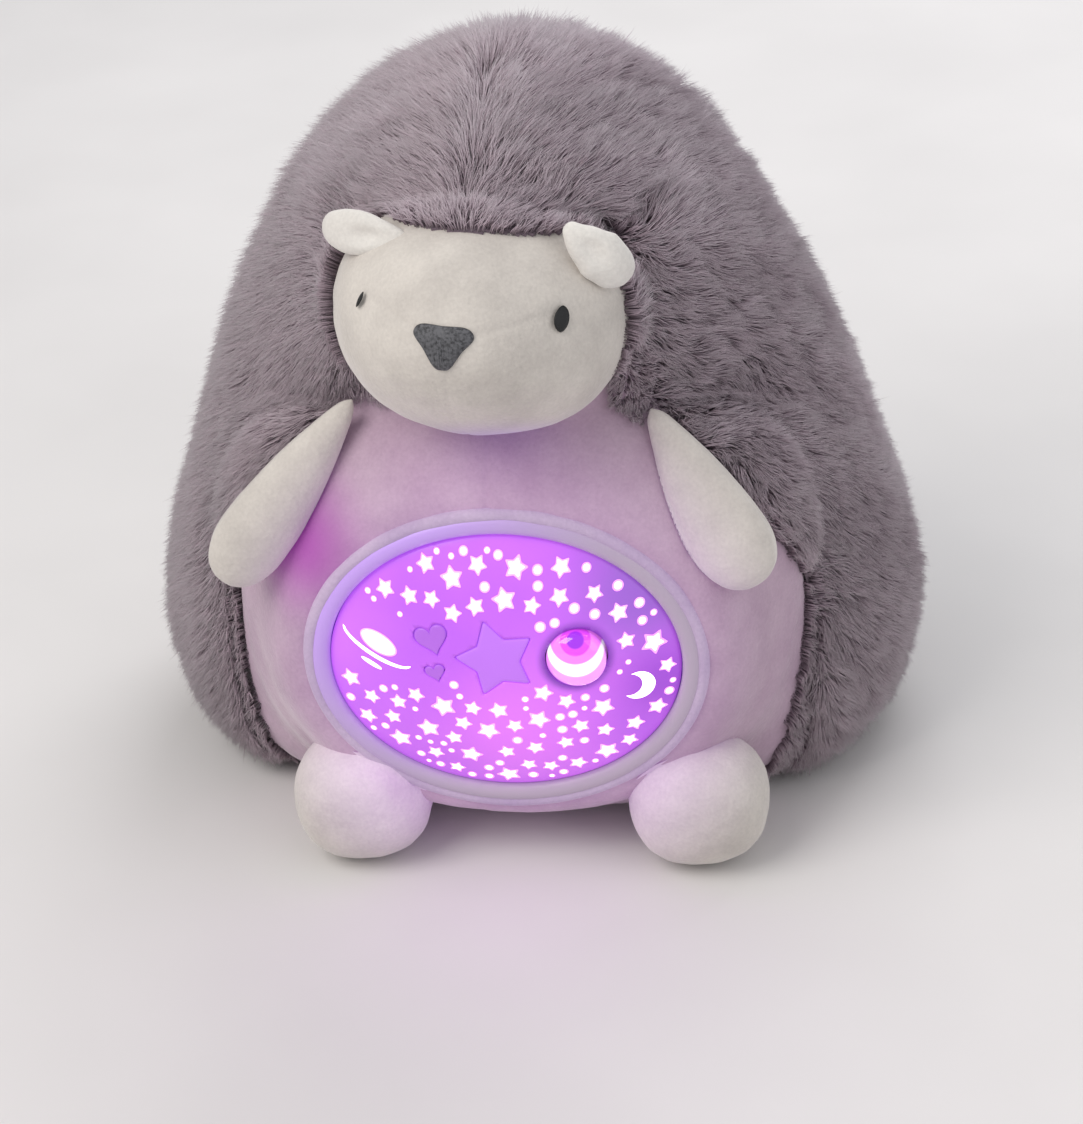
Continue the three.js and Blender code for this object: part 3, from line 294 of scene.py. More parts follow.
def waves(p, size, seed, count=7):
    """A smooth wandering number between about -1 and 1 at points, with bumps of about a given size."""
    rng = np.random.default_rng(seed)
    way = rng.normal(size=(count, 3))
    way *= (2 * np.pi / size / np.linalg.norm(way, axis=1) * rng.uniform(0.6, 1.4, count))[:, None]
    return np.sin(p @ way.T + rng.uniform(0, 2 * np.pi, count)).sum(1) / math.sqrt(count * 2)


def unit(v):
    return v / np.maximum(np.linalg.norm(v, axis=-1), 1e-9)[..., None]


def near_line(p, a, b):
    """Distance from points to a straight line between two places, and how far along it they are."""
    a, d = np.array(a, float), np.subtract(b, a)
    t = np.clip((p - a) @ d / max(d @ d, 1e-9), 0, 1)
    return np.linalg.norm(p - a - t[:, None] * d, axis=1), t


def rotated(x, y, angle):
    c, s = math.cos(angle), math.sin(angle)
    return np.stack([x * c - y * s, x * s + y * c], -1)


# ---------------------------------------------------------------- meshes

def mesh_object(name, points, faces, material, smooth=True):
    mesh = bpy.data.meshes.new(name)
    mesh.from_pydata((np.asarray(points, float) * MM).tolist(), [], [tuple(int(i) for i in f) for f in faces])
    mesh.validate()
    mesh.update()
    piece = scene_object(name, mesh)
    mesh.materials.append(material)
    if smooth:
        mesh.polygons.foreach_set("use_smooth", [True] * len(mesh.polygons))
    return piece


def finish_piece(piece, replaces=(), body="toy"):
    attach(piece, body)
    if replaces:
        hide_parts(*replaces)


def make_piece(name, shape, material, replaces=(), body="toy"):
    finish_piece(mesh_object(name, *shape, material), replaces, body)


def outward(points, faces):
    """The faces, turned over if the closed mesh they make is inside out."""
    p = np.asarray(points, float)
    volume = 0.0
    for f in faces:
        for i in range(1, len(f) - 1):
            volume += np.dot(p[f[0]], np.cross(p[f[i]], p[f[i + 1]]))
    return [tuple(reversed(f)) for f in faces] if volume < 0 else list(faces)


def rings_mesh(loops, joined=False):
    """Points and faces of a skin over equal loops, capped at its ends or joined end to end."""
    loops = np.asarray(loops, float)
    n, m = loops.shape[:2]
    faces = []
    for i in range(n if joined else n - 1):
        a, b = i * m, ((i + 1) % n) * m
        faces += [(a + j, a + (j + 1) % m, b + (j + 1) % m, b + j) for j in range(m)]
    points = loops.reshape(-1, 3)
    if not joined:
        points = np.vstack([points, loops[0].mean(0), loops[-1].mean(0)])
        for j in range(m):
            k = (j + 1) % m
            faces += [(n * m, k, j), (n * m + 1, (n - 1) * m + j, (n - 1) * m + k)]
    return points, outward(points, faces)


def closed_sheet(outer, inner, faces):
    """A closed sheet of some faces on the outer points, their copies on the inner ones, and walls between."""
    n = len(outer)
    edges = dict.fromkeys((f[i - 1], f[i]) for f in faces for i in range(len(f)))
    every = [*faces, *[tuple(i + n for i in reversed(f)) for f in faces],
             *[(b, a, a + n, b + n) for a, b in edges if (b, a) not in edges]]
    used = sorted({i for f in every for i in f})
    remap = {old: new for new, old in enumerate(used)}
    points = np.vstack([outer, inner])[used]
    return points, outward(points, [tuple(remap[i] for i in f) for f in every])


def thick_sheet(grid, inner):
    """A closed sheet between two grids of points of the same shape."""
    rows, cols = grid.shape[:2]
    corners = [i * cols + j for i in range(rows - 1) for j in range(cols - 1)]
    faces = [(a, a + 1, a + cols + 1, a + cols) for a in corners]
    return closed_sheet(grid.reshape(-1, 3), inner.reshape(-1, 3), faces)


def cut(piece, cutter):
    """Takes the cutter's room out of a piece, and removes the cutter."""
    mod = piece.modifiers.new("cut", "BOOLEAN")
    mod.operation, mod.solver, mod.object = "DIFFERENCE", "EXACT", cutter
    bpy.context.view_layer.update()
    mesh = bpy.data.meshes.new_from_object(piece.evaluated_get(bpy.context.evaluated_depsgraph_get()))
    piece.modifiers.remove(mod)
    piece.data = mesh
    bpy.data.objects.remove(cutter)


def module_points(u, v, w):
    """Points of the light module: across, up and back from its ring."""
    u, v, w = np.broadcast_arrays(np.asarray(u, float), v, w)
    return np.stack([u, RING_FRONT + w, MODULE_Z + v], -1)


def oval_sweep(section, count=144):
    """A ring round the lit oval; the section's corners are (out from the oval, back from the ring)."""
    a = around(count)
    loops = [module_points((DOME_U + out) * np.cos(a), (DOME_V + out) * np.sin(a), w) for out, w in section]
    return rings_mesh(loops, True)


# ---------------------------------------------------------------- materials

def linear(colour):
    """A colour written as on screen, 0 to 255, for a shader's socket."""
    c = np.array(colour, float) / 255
    c = np.where(c <= 0.04045, c / 12.92, ((c + 0.055) / 1.055) ** 2.4)
    return (*c.tolist(), 1)


def feed(node, **values):
    """Sets a node's inputs and properties: numbers, colours as on screen, or other nodes' outputs to link."""
    for key, value in values.items():
        name = key.replace("_", " ")
        if name not in node.inputs:
            setattr(node, key, value)
        elif isinstance(value, bpy.types.NodeSocket):
            node.id_data.links.new(value, node.inputs[name])
        else:
            screen = isinstance(value, tuple) and len(value) == 3
            node.inputs[name].default_value = linear(value) if screen else value
    return node


def add(nodes, kind, **values):
    return feed(nodes.new("ShaderNode" + kind), **values)


def principled(name):
    material = bpy.data.materials.new(name)
    material.use_nodes = True
    nodes = material.node_tree.nodes
    return material, nodes, nodes["Principled BSDF"]


def mixed(nodes, first, second, share, way="MIX"):
    """One colour over another; each is an output or a colour as on screen."""
    return add(nodes, "Mix", data_type="RGBA", blend_type=way, A=first, B=second, Factor=share).outputs["Result"]


def mottled(nodes, colour, dark, scale, detail, low, high):
    """The object's coordinates, and a colour that wanders to a darker one over a noise of a given scale."""
    place = add(nodes, "TexCoord").outputs["Object"]
    noise = add(nodes, "TexNoise", Vector=place, Scale=scale, Detail=detail)
    ramp = add(nodes, "ValToRGB", Fac=noise.outputs["Fac"])
    for stop, position, tint in zip(ramp.color_ramp.elements, (low, high), (dark, colour)):
        stop.position, stop.color = position, linear(tint)
    return place, ramp.outputs["Color"]


def bumped(nodes, place, shader, scale, distance, strength=0.5, detail=3):
    """A fine bump from noise, with its size in metres."""
    noise = add(nodes, "TexNoise", Vector=place, Scale=scale, Detail=detail)
    bump = add(nodes, "Bump", Strength=strength, Distance=distance, Height=noise.outputs["Fac"])
    feed(shader, Normal=bump.outputs["Normal"])


def plush_material(name, colour, dark, nap=900, sheen=0.5):
    """Short velvety plush: a soft sheen over a fine nap."""
    material, nodes, shader = principled(name)
    place, tint = mottled(nodes, colour, dark, 55, 5, 0.3, 0.65)
    fine = add(nodes, "TexNoise", Vector=place, Scale=nap, Detail=4)
    bumped(nodes, place, shader, nap * 0.6, 0.0006, 0.55, 4)
    feed(shader, Base_Color=mixed(nodes, tint, fine.outputs["Fac"], 0.22, "MULTIPLY"), Roughness=0.92,
         Specular_IOR_Level=0.25, Sheen_Weight=sheen, Sheen_Roughness=0.35, Sheen_Tint=(1, 0.98, 0.98, 1))
    return material


def fur_material(name, root, middle, tip):
    """Long pile, coloured from root to tip and a little from hair to hair, by the map OFBake; the hair-to-hair tone
    holds painted shade.
    """
    material, nodes, shader = principled(name)
    uv = add(nodes, "UVMap", uv_map="OFBake")
    split = add(nodes, "SeparateXYZ", Vector=uv.outputs["UV"])
    ramp = add(nodes, "ValToRGB", Fac=split.outputs["Y"])
    stops = ramp.color_ramp.elements
    stops[0].color, stops[1].color = linear(root), linear(tip)
    stops.new(0.45).color = linear(middle)
    shade = add(nodes, "MapRange", Value=split.outputs["X"], From_Min=0, From_Max=1, To_Min=0.62, To_Max=1.2)
    feed(shader, Base_Color=mixed(nodes, ramp.outputs["Color"], shade.outputs["Result"], 1, "MULTIPLY"),
         Roughness=0.6, Specular_IOR_Level=0.3, Sheen_Weight=0.25, Sheen_Roughness=0.4)
    return material


def plain_material(name, colour, dark, rough, scale=120, bump=0.00005, bump_scale=1500, **sockets):
    """Moulded, plated or painted stuff with a little wear in its colour and a fine texture."""
    material, nodes, shader = principled(name)
    place, tint = mottled(nodes, colour, dark, scale, 4, 0.25, 0.6)
    bumped(nodes, place, shader, bump_scale, bump)
    feed(shader, Base_Color=tint, Roughness=rough, **sockets)
    return material


def lit_material(name, colour, dark, strength, rough=0.3, scale=28):
    """Frosted plastic lit from within, unevenly; on the clear lens this glow is painted."""
    material, nodes, shader = principled(name)
    place, tint = mottled(nodes, colour, dark, scale, 2, 0.3, 0.7)
    bumped(nodes, place, shader, 2600, 0.00003, 0.3)
    feed(shader, Base_Color=tint, Emission_Color=tint, Emission_Strength=strength, Roughness=rough)
    return material


def near_place(nodes, across, up, place, inside, outside):
    """1 inside one distance from a flat place and 0 outside another, in mm; across and up are outputs."""
    flat = add(nodes, "CombineXYZ", X=across, Y=up)
    away = add(nodes, "VectorMath", operation="DISTANCE", Vector=flat.outputs["Vector"])
    away.inputs[1].default_value = (place[0] * MM, place[1] * MM, 0)
    fade = add(nodes, "MapRange", interpolation_type="SMOOTHSTEP", Value=away.outputs["Value"],
               From_Min=inside * MM, From_Max=outside * MM, To_Min=1, To_Max=0)
    return fade.outputs["Result"]


def spot(nodes, u, v, inside, outside):
    """1 near a place of the light module and 0 away from it, with distances in mm across and up."""
    split = add(nodes, "SeparateXYZ", Vector=nodes["Texture Coordinate"].outputs["Object"])
    return near_place(nodes, split.outputs["X"], split.outputs["Z"], (u, MODULE_Z + v), inside, outside)


def painted_lens_spot(nodes, right, up, radius):
    """1 inside a round place on the lens and 0 outside it, in shares of the lens, seen a little from above, for the
    lens's painted highlight and painted inner glow.
    """
    place = nodes["Texture Coordinate"].outputs["Object"]
    split = add(nodes, "SeparateXYZ", Vector=place)
    height = add(nodes, "VectorMath", operation="DOT_PRODUCT", Vector=place)
    height.inputs[1].default_value = (0, math.sin(ELEVATION), math.cos(ELEVATION))
    u, v = LENS_AT
    middle = (RING_FRONT + dome_w(u, v)) * math.sin(ELEVATION) + (MODULE_Z + v) * math.cos(ELEVATION)
    at = (u + right * LENS_RADIUS, middle + up * LENS_RADIUS)
    return near_place(nodes, split.outputs["X"], height.outputs["Value"], at,
                      (radius - 0.03) * LENS_RADIUS, (radius + 0.04) * LENS_RADIUS)


def painted(material, ground, layers, shape=spot):
    """Gives a lit material a ground, or its own colour, with spots of colour over it in its colour and glow: painted
    shadow on the dome, painted light on the bezel and a painted highlight on the lens.
    """
    nodes = material.node_tree.nodes
    colour = ground or nodes["Color Ramp"].outputs["Color"]
    for tint, *where in layers:
        colour = mixed(nodes, colour, tint, shape(nodes, *where))
    feed(nodes["Principled BSDF"], Base_Color=colour, Emission_Color=colour)


def painted_lamp_glow(material, lilac, amount, spread, fold):
    """Paints the lamp's glow as emission into the cloth around it, and painted shade with painted glow into a fold:
    its place, reach, shaded cloth colour and painted light.
    """
    nodes = material.node_tree.nodes
    shader = nodes["Principled BSDF"]
    place, reach, cloth, light = fold
    # painted shade and painted glow in the fold, and painted glow from the lamp round the lit oval
    shadow = spot(nodes, *place, 0, reach)
    glow = mixed(nodes, (0, 0, 0), lilac, spot(nodes, 0, 0, 50, spread))
    base = shader.inputs["Base Color"].links[0].from_socket
    feed(shader, Base_Color=mixed(nodes, base, cloth, shadow), Emission_Color=mixed(nodes, glow, light, shadow),
         Emission_Strength=amount)


make_camera()
bpy.context.scene.view_settings.view_transform = "Standard"

FUR = fur_material("fur_pile", (112, 94, 106), (172, 152, 163), (212, 197, 205))
FUR_SKIN = plush_material("fur_backing", (130, 114, 124), (108, 93, 103), 1200, 0.1)
CREAM = plush_material("cream_plush", (222, 215, 207), (204, 197, 190))
EAR = plush_material("ear_plush", (240, 236, 230), (226, 221, 215))
BELLY = plush_material("belly_plush", (203, 177, 195), (187, 159, 180))
HEM = plush_material("hem_plush_painted_glow", (206, 188, 208), (190, 170, 196))
FILL = plush_material("fibre_fill", (243, 242, 238), (226, 225, 222), 500, 0.3)
TAPE = plush_material("closure_tape", (232, 229, 227), (212, 208, 206), 2200, 0.2)
LINING = plain_material("woven_lining", (185, 178, 189), (168, 160, 172), 0.85, 300, 0.0001, 2400)
NOSE_THREAD = plain_material("grey_stitching", (98, 98, 102), (24, 24, 28), 0.6, 1100, 0.0004)
EYE_THREAD = plain_material("black_stitching", (10, 10, 12), (3, 3, 4), 0.5, 1300, 0.0003, 1800)
DOME = lit_material("lit_dome", (198, 106, 232), (178, 92, 222), 0.42, 0.3, 24)
WINDOW = lit_material("lit_window", (255, 250, 255), (255, 226, 255), 2.2, 0.3, 60)
EDGE = lit_material("lit_window_edge", (255, 170, 246), (246, 150, 244), 0.9, 0.3, 60)
BEZEL = lit_material("lit_bezel", (200, 160, 226), (186, 146, 216), 0.16, 0.4)
BUTTON = lit_material("lit_button", (180, 112, 224), (172, 104, 216), 0.46, 0.42)
HEART = lit_material("lit_heart", (174, 104, 214), (162, 94, 204), 0.42, 0.42)
LENS = lit_material("lens_painted_glow", (234, 152, 236), (222, 132, 228), 0.62, 0.08, 90)

# painted glow from the lamp on the plush hem
feed(HEM.node_tree.nodes["Principled BSDF"], Emission_Color=(176, 130, 222), Emission_Strength=0.12)
# painted lamp glow on the belly and the cream plush, with painted violet shade and glow in the fold beside the left
# arm and under the chin
painted_lamp_glow(BELLY, (176, 110, 206), 0.18, 84, ((-62, 38), 31, (162, 92, 162), (178, 52, 188)))
painted_lamp_glow(CREAM, (190, 112, 236), 0.32, 96, ((2, 66), 30, (164, 140, 188), (142, 92, 204)))
painted(DOME, None, [  # brighter in its middle, darker at the upper right, and a painted shadow of the lens barrel round the lens
    ((216, 116, 236), 4, -18, 2, 36), ((148, 92, 196), 44, 28, 4, 32), ((156, 74, 204), 50, -4, 2, 22),
    ((126, 66, 172), *LENS_AT, LENS_RADIUS, LENS_RADIUS + 3.5)])
painted(BEZEL, (176, 160, 180), [((190, 154, 230), -38, 26, 18, 84)])  # more lit at its upper left
painted(LENS, None, [  # painted on the clear lens: a bright crescent of painted highlight across a rose ground of painted inner glow, and a violet spot above
    ((255, 248, 255), 0, 0.34, 0.93), ((226, 118, 232), 0, 0.66, 0.84), ((206, 66, 220), 0.02, 0.6, 0.5),
    ((142, 34, 204), 0.02, 0.62, 0.28)], painted_lens_spot)
feed(LENS.node_tree.nodes["Principled BSDF"], Coat_Weight=1, Coat_Roughness=0.03)

SLOTS = {
    "lining": LINING, "closure": TAPE, "stuffing": FILL, "fur": FUR_SKIN, "cream_plush": CREAM, "belly_plush": BELLY,
    "thread_grey": NOSE_THREAD, "thread_black": EYE_THREAD, "lit_dome": DOME, "bezel_lilac": BEZEL,
    "button_lilac": BUTTON,
    "light_mask": plain_material("mask_plastic", (154, 85, 224), (130, 70, 196), 0.5),
    "white_plastic": plain_material("white_moulding", (236, 234, 234), (218, 215, 215), 0.5, 60, 0.00004, 1600),
    "black_plastic": plain_material("black_moulding", (38, 38, 41), (24, 24, 26), 0.5),
    "board_green": plain_material("board", (31, 107, 63), (22, 84, 48), 0.45, 700, 0.00006, 900),
    "led_white": plain_material("emitter", (246, 240, 216), (236, 222, 180), 0.25, 500),
    "steel": plain_material("plated_steel", (196, 198, 203), (160, 163, 168), 0.3, 300, 0.00003, 2500, Metallic=1),
    "magnet": plain_material("sintered_magnet", (96, 99, 104), (66, 68, 72), 0.45, 500, 0.00006, 1800, Metallic=1),
    "cone_paper": plain_material("pressed_paper", (52, 50, 50), (34, 33, 33), 0.9, 700, 0.0002),
    "cell_jacket": plain_material("cell_film", (61, 106, 143), (48, 88, 122), 0.32, 90),
    "lead_red": plain_material("red_insulation", (184, 50, 44), (150, 38, 34), 0.5, 300),
    "lead_black": plain_material("black_insulation", (30, 30, 33), (18, 18, 20), 0.5, 300),
    "clear_plastic": plain_material("clear_lens", (250, 240, 255), (236, 214, 250), 0.04, 40, 0.00001, 600,
                                    Transmission_Weight=0.92, IOR=1.49),
}

for entry in frame["record"]["subparts"]:
    node = frame["nodes"][entry["node"]]
    node.data.materials.clear()
    node.data.materials.append(SLOTS[entry["material_slot"]])


# ---------------------------------------------------------------- plush pieces

def pressed(points, gap=0.4, grow=SKIN):
    """Points kept in front of the belly and chest."""
    p = np.array(points, float)
    p[:, 1] = np.minimum(p[:, 1], front_y(p[:, 0], p[:, 2], grow) - gap)
    return p


def make_head():
    """The head, with a crease from each eye to the nose, sockets, cheeks and the seam of the chin."""
    d, faces = sphere_points(120, 160)
    r = head_radius(d)
    q = d * r[:, None]
    face = q[:, ::2]
    eye, cheek = (EYE_SPREAD, EYE_RISE), (24, -10)
    half = [((26, EYE_RISE + 1.5), (8.5, NOSE_RISE + 4.5), -0.45, 1.3), (eye, eye, -1.1, 4.5),
            (cheek, cheek, 0.9, 13)]
    other = [((-a[0], a[1]), (-b[0], b[1]), rise, width) for a, b, rise, width in half]
    for a, b, rise, width in [*other, *half, ((0, -NOSE_HEIGHT / 2), (0, -CHIN_DROP), -0.22, 1.0)]:
        r = r + (d[:, 1] < 0) * rise * np.exp(-(near_line(face, a, b)[0] / width) ** 2)
    r = r + 0.35 * waves(q, 34, 3) + 0.12 * waves(q, 9, 4)
    points = (d * r[:, None]) @ HEAD_TURN.T + HEAD_AT
    points = pressed(points)
    limit = body_y(points[:, 0], points[:, 2], -PILE + SKIN) - 0.3
    points[:, 1] = np.where((points[:, 2] > 200) & (points[:, 1] > limit), limit, points[:, 1])
    make_piece("head_plush", (points, faces), CREAM, ["head"])


def on_head(x, z, lift):
    """Points on the face at places seen from its front, a little above the skin."""
    y = np.full(x.shape, -HEAD_SIZE[1] - SNOUT_REACH / 2)
    for _ in range(12):
        q = np.stack([x, y, z], -1)
        far = np.linalg.norm(q, axis=1)
        y = y - (head_radius(unit(q), lift) - far) * far / np.maximum(np.abs(y), 5)
    return np.stack([x, y, z], -1) @ HEAD_TURN.T + HEAD_AT


def stitched_patch(name, outline, middle, height, material, node, rings, ridges):
    """A padded patch of stitching, crowned towards its middle, with the ridges of its thread."""
    loops = [on_head(*(middle + (outline - middle) * share).T, 0.3) for share in (0.06, 0.5, 0.98)]
    for share in np.linspace(1, 0.06, rings):
        x, z = (middle + (outline - middle) * share).T
        rise = height * (1 - share ** 4) ** 0.5
        thread = ridges * np.sin(x * 2 * np.pi / THREAD_WIDTH + 0.6 * z) * (share < 0.93)
        top = on_head(x, z, 0)
        away = unit(top - on_head(x, z, -1.0))
        loops.append(top + away * (0.35 + rise + thread)[:, None])
    make_piece(name, rings_mesh(loops), material, [node])


def smooth_outline(knots, count):
    """A closed smooth line through its knots."""
    knots = np.asarray(knots, float)
    wrapped = np.vstack([knots[-2:], knots, knots[:3]])
    n = len(knots)
    t = (2 + n * np.arange(count) / count) / (len(wrapped) - 1)
    return spline(wrapped, t)


def make_face():
    w, h, c = NOSE_WIDTH / 2, NOSE_HEIGHT / 2, NOSE_WIDTH * 0.16
    half = [(w - c * 0.8, h), (w, h - c), (w * 0.64, -h * 0.1), (c * 0.85, -h + 0.7)]
    other = [(-x, z) for x, z in half[::-1]]
    nose = smooth_outline([*other[2:], (0, h + 0.2), *half, (0, -h - 0.1), *other[:2]], 96) + [-1.2, NOSE_RISE]
    middle = np.array([-1.2, NOSE_RISE + 0.5])
    stitched_patch("nose_stitching", nose, middle, 1.1, NOSE_THREAD, "nose", 26, 0.12)
    a = around(36)
    for side, name, wide, high, slant in ((-1, "left", 0.7, 2.5, 0.42), (1, "right", 1.9, 3.7, -0.05)):
        eye = np.stack([wide * np.sign(np.cos(a)) * np.abs(np.cos(a)) ** 1.25, high * np.sin(a)], -1)
        eye[:, 0] += slant * eye[:, 1]
        middle = np.array([side * EYE_SPREAD, EYE_RISE])
        stitched_patch(f"eye_stitching_{name}", eye + middle, middle, 0.9, EYE_THREAD,
                       f"eye_{name}", 10, 0.05)


def ear_place(middle, tip, lean):
    """Where an ear's middle stands, and the turn of its own axes."""
    return (np.array(middle) @ HEAD_TURN.T + HEAD_AT,
            HEAD_TURN @ turn(z=math.radians(lean)) @ turn(y=math.radians(-tip)))


def make_ears():
    for name, (middle, tip, lean, (a, b, c)) in EARS.items():
        d, faces = sphere_points(56, 72)
        size = (np.abs(d[:, 0] / a) ** 2.3 + np.abs(d[:, 1] / b) ** 2 + np.abs(d[:, 2] / c) ** 2.3) ** (-1 / 2.15)
        p = d * size[:, None]
        hollow = np.hypot(p[:, 0] / a + 0.25, p[:, 2] / c)
        p[:, 1] += np.where(d[:, 1] < 0, 1.8 * np.exp(-(hollow / 0.5) ** 2), 0)
        p[:, 2] *= 1 - 0.38 * np.clip(-p[:, 0] / a, 0, 1)
        seam = np.exp(-((d[:, 1] - 0.12) / 0.08) ** 2)
        p *= 1 - 0.025 * seam[:, None]
        p[:, 1] += 0.008 * p[:, 0] ** 2
        at, way = ear_place(middle, tip, lean)
        p = p @ way.T + at
        p += 0.15 * waves(p, 8, 30 + len(name))[:, None]
        make_piece(f"ear_plush_{name}", (p, faces), EAR, [f"ear_{name}"])


EARS = {  # middle, tip, lean, half sizes
    "left": ((-33.5, -18, 24), 184, -20, (12.6, 4.2, 6.0)), "right": ((37.4, -18.6, 24.6), -40, 22, (10.9, 4.7, 6.6))}
ARM_SHARES = [(0, 0), (0.05, 0.24), (0.16, 0.45), (0.33, 0.7), (0.5, 0.88), (0.67, 1), (0.82, 0.99), (0.93, 0.75),
              (0.985, 0.38), (1, 0)]
ARMS = {"left": ((-45, BODY_BACK - 84, 158), (-88, BODY_BACK - 100, 102.5)),
        "right": ((46, BODY_BACK - 83, 154.5), (79, BODY_BACK - 104, 105))}
ARM_HALF, ARM_THICK = {"left": 11.6, "right": 12.5}, 8.5
FEET = {"left": (-50, BODY_BACK - 96, 21), "right": (59, BODY_BACK - 96, 21)}
FOOT_SIZE = np.array([22.5, 21, 21.5])


def make_arms():
    for name, (start, tip) in ARMS.items():
        start, tip = np.array(start, float), np.array(tip, float)
        along = tip - start
        axis = unit(along)
        hinge = unit(np.array([axis[2], 0, -axis[0]]))
        out = np.cross(axis, hinge)
        sizes = spline(ARM_SHARES, np.linspace(0, 1, 56)[1:-1])
        a = around(48)
        thick = ARM_THICK * np.sign(np.sin(a)) * np.abs(np.sin(a)) ** 0.9
        ring = ARM_HALF[name] * np.outer(np.cos(a), hinge) + np.outer(thick, out)
        seam = 1 - 0.035 * np.exp(-(np.sin(a) / 0.12) ** 2)
        points, faces = rings_mesh([start + along * share + size * seam[:, None] * ring for share, size in sizes])
        points = points + 0.4 * waves(points, 26, 11)[:, None] * out + 0.15 * waves(points, 7, 12)[:, None] * out
        make_piece(f"arm_plush_{name}", (pressed(points, 1.0), faces), CREAM, [f"arm_{name}"],
                   f"arm_{name[0]}")


def make_feet():
    for name, at in FEET.items():
        d, faces = sphere_points(72, 96)
        size = (np.abs(d / FOOT_SIZE) ** 2.2).sum(1) ** (-1 / 2.2)
        size = size + 0.35 * waves(d * 20, 20, 21) + 0.12 * waves(d * 20, 6, 22)
        p = d * size[:, None] + np.array(at)
        near = eased(1 - (off_oval(p[:, 0], p[:, 2]) - 8.5) / 4)
        p[:, 1] = np.minimum(p[:, 1], front_y(p[:, 0], p[:, 2]) + 0.8 - 1.6 * near)
        p[:, 2] = np.maximum(p[:, 2], 0.2)
        make_piece(f"foot_plush_{name}", (p, faces), CREAM, [f"foot_{name}"])


CLOTH = 1.6


def make_belly():
    """Belly and chest: one panel whose side edges run under the coat."""
    rows, cols = 150, 190
    share = np.linspace(-1, 1, cols)
    grid, inner = [], []
    for z in np.linspace(0.3, 208, rows):
        t = share * (coat_edge(z) + 4 / plush_radius(z, 0.8, SKIN))
        dip = 2.4 * np.clip((np.abs(share) - 0.93) / 0.07, 0, 1) ** 2
        out = plush_points(z, t, SKIN)
        way = np.stack([np.sin(t), -np.cos(t), 0 * t], -1)
        out = out - way * dip[:, None]
        out[:, 1] = tent(out[:, 0], out[:, 1], out[:, 2])
        grid.append(out)
        inner.append(out - way * CLOTH)
    grid, inner = np.array(grid), np.array(inner)
    flat = grid.reshape(-1, 3)
    lift = 0.5 * waves(flat, 30, 41) + 0.2 * waves(flat, 10, 42)
    seam = np.exp(-((flat[:, 0] + 3) / 0.9) ** 2) * (flat[:, 2] > MODULE_Z)
    tuck = np.exp(-((flat[:, 2] - 8) / 8) ** 2) * np.clip(waves(flat * [1, 0, 0.2], 9, 43), 0, 1)
    ruck = np.exp(-((off_oval(flat[:, 0], flat[:, 2]) - 13) / 5) ** 2) * waves(flat, 13, 44)
    flat[:, 1] += 0.55 * seam - lift * 0.6 + 1.2 * tuck + 0.35 * ruck
    points, faces = thick_sheet(flat.reshape(rows, cols, 3), inner)
    panel = mesh_object("belly_cloth", points, faces, BELLY)
    hole = np.array([module_points((DOME_U + 7) * np.cos(t), (DOME_V + 7) * np.sin(t), w)
                     for w in (-40, 60) for t in around(144)]).reshape(2, 144, 3)
    cut(panel, mesh_object("hole", *rings_mesh(hole), BELLY))
    finish_piece(panel, ["belly_panel"])


def make_hem():
    section = [(6.5 + 2.3 * math.cos(t), 0.7 - (2.2 if math.sin(t) > 0 else 11) * math.sin(t))
               for t in around(20)]
    points, faces = oval_sweep(section)
    points[:, 1] += 0.25 * waves(points, 16, 45) * (points[:, 1] < RING_FRONT + 2)
    make_piece("plush_hem", (points, faces), HEM, ["belly_hem"])


# ---------------------------------------------------------------- coat: skin and pile

WINDOW_HALF, WINDOW_LOW, WINDOW_HIGH = 44, 20, 108  # the opening that the flap closes
PILE_LENGTH, COAT_AREA = 14.0, 170000
QUICK_PILE, FULL_PILE = (150000, 0.24), (400000, 0.16)  # hairs, and half their thickness
HAIRS_IN_PIECE = 19900
LAP_TOP = 146  # below it the pile laps over the belly's edge
FAR = 99.0  # stands for the height above the forehead's seam of hairs that aren't near it


def make_coat_skin():
    rows, cols = 110, 170
    rise = 1 - (1 - np.linspace(0, 1, rows)) ** 1.35
    shells = []
    for grow in (SKIN + 0.4, 0.6):
        grid = []
        for z in rise * (BODY_HEIGHT + grow - PILE - 0.05) + 0.2 * (1 - rise):
            edge = coat_edge(z, grow)
            grid.append(plush_points(z, np.linspace(edge, 2 * np.pi - edge, cols), grow))
        shells.append(np.array(grid))
    skin = mesh_object("coat_backing", *thick_sheet(*shells), FUR_SKIN)
    x, z0, z1 = WINDOW_HALF, WINDOW_LOW, WINDOW_HIGH
    box = [[[-x, y, z0], [x, y, z0], [x, y, z1], [-x, y, z1]] for y in (20, 200)]
    cut(skin, mesh_object("window", *rings_mesh(box), FUR_SKIN, False))
    finish_piece(skin, ["fur_coat"])


def seam_height(x):
    """Height of the seam where the coat meets the forehead."""
    return 221.3 - 0.0048 * (x + 8) ** 2


def beside_head(p, d, back):
    """The strip at the head's sides and back where the coat meets it."""
    return (d[:, 1] > back - 0.16) & (p[:, 2] > 172 + 4 * waves(p, 12, 76)) & (p[:, 2] < 224)


def make_hood():
    """The coat's backing where it runs over the head, down to the seam above the face."""
    d, faces = sphere_points(90, 120)
    p, inner = ((d * head_radius(d, grow)[:, None]) @ HEAD_TURN.T + HEAD_AT for grow in (0.7, -1.5))
    keep = ((p[:, 2] > seam_height(p[:, 0]) + 0.5) | beside_head(p, d, 0.06)) & (body_depth(p, SKIN - PILE) < 4)
    faces = [f for f in faces if all(keep[i] for i in f)]
    make_piece("hood_backing", closed_sheet(p, inner, faces), FUR_SKIN)


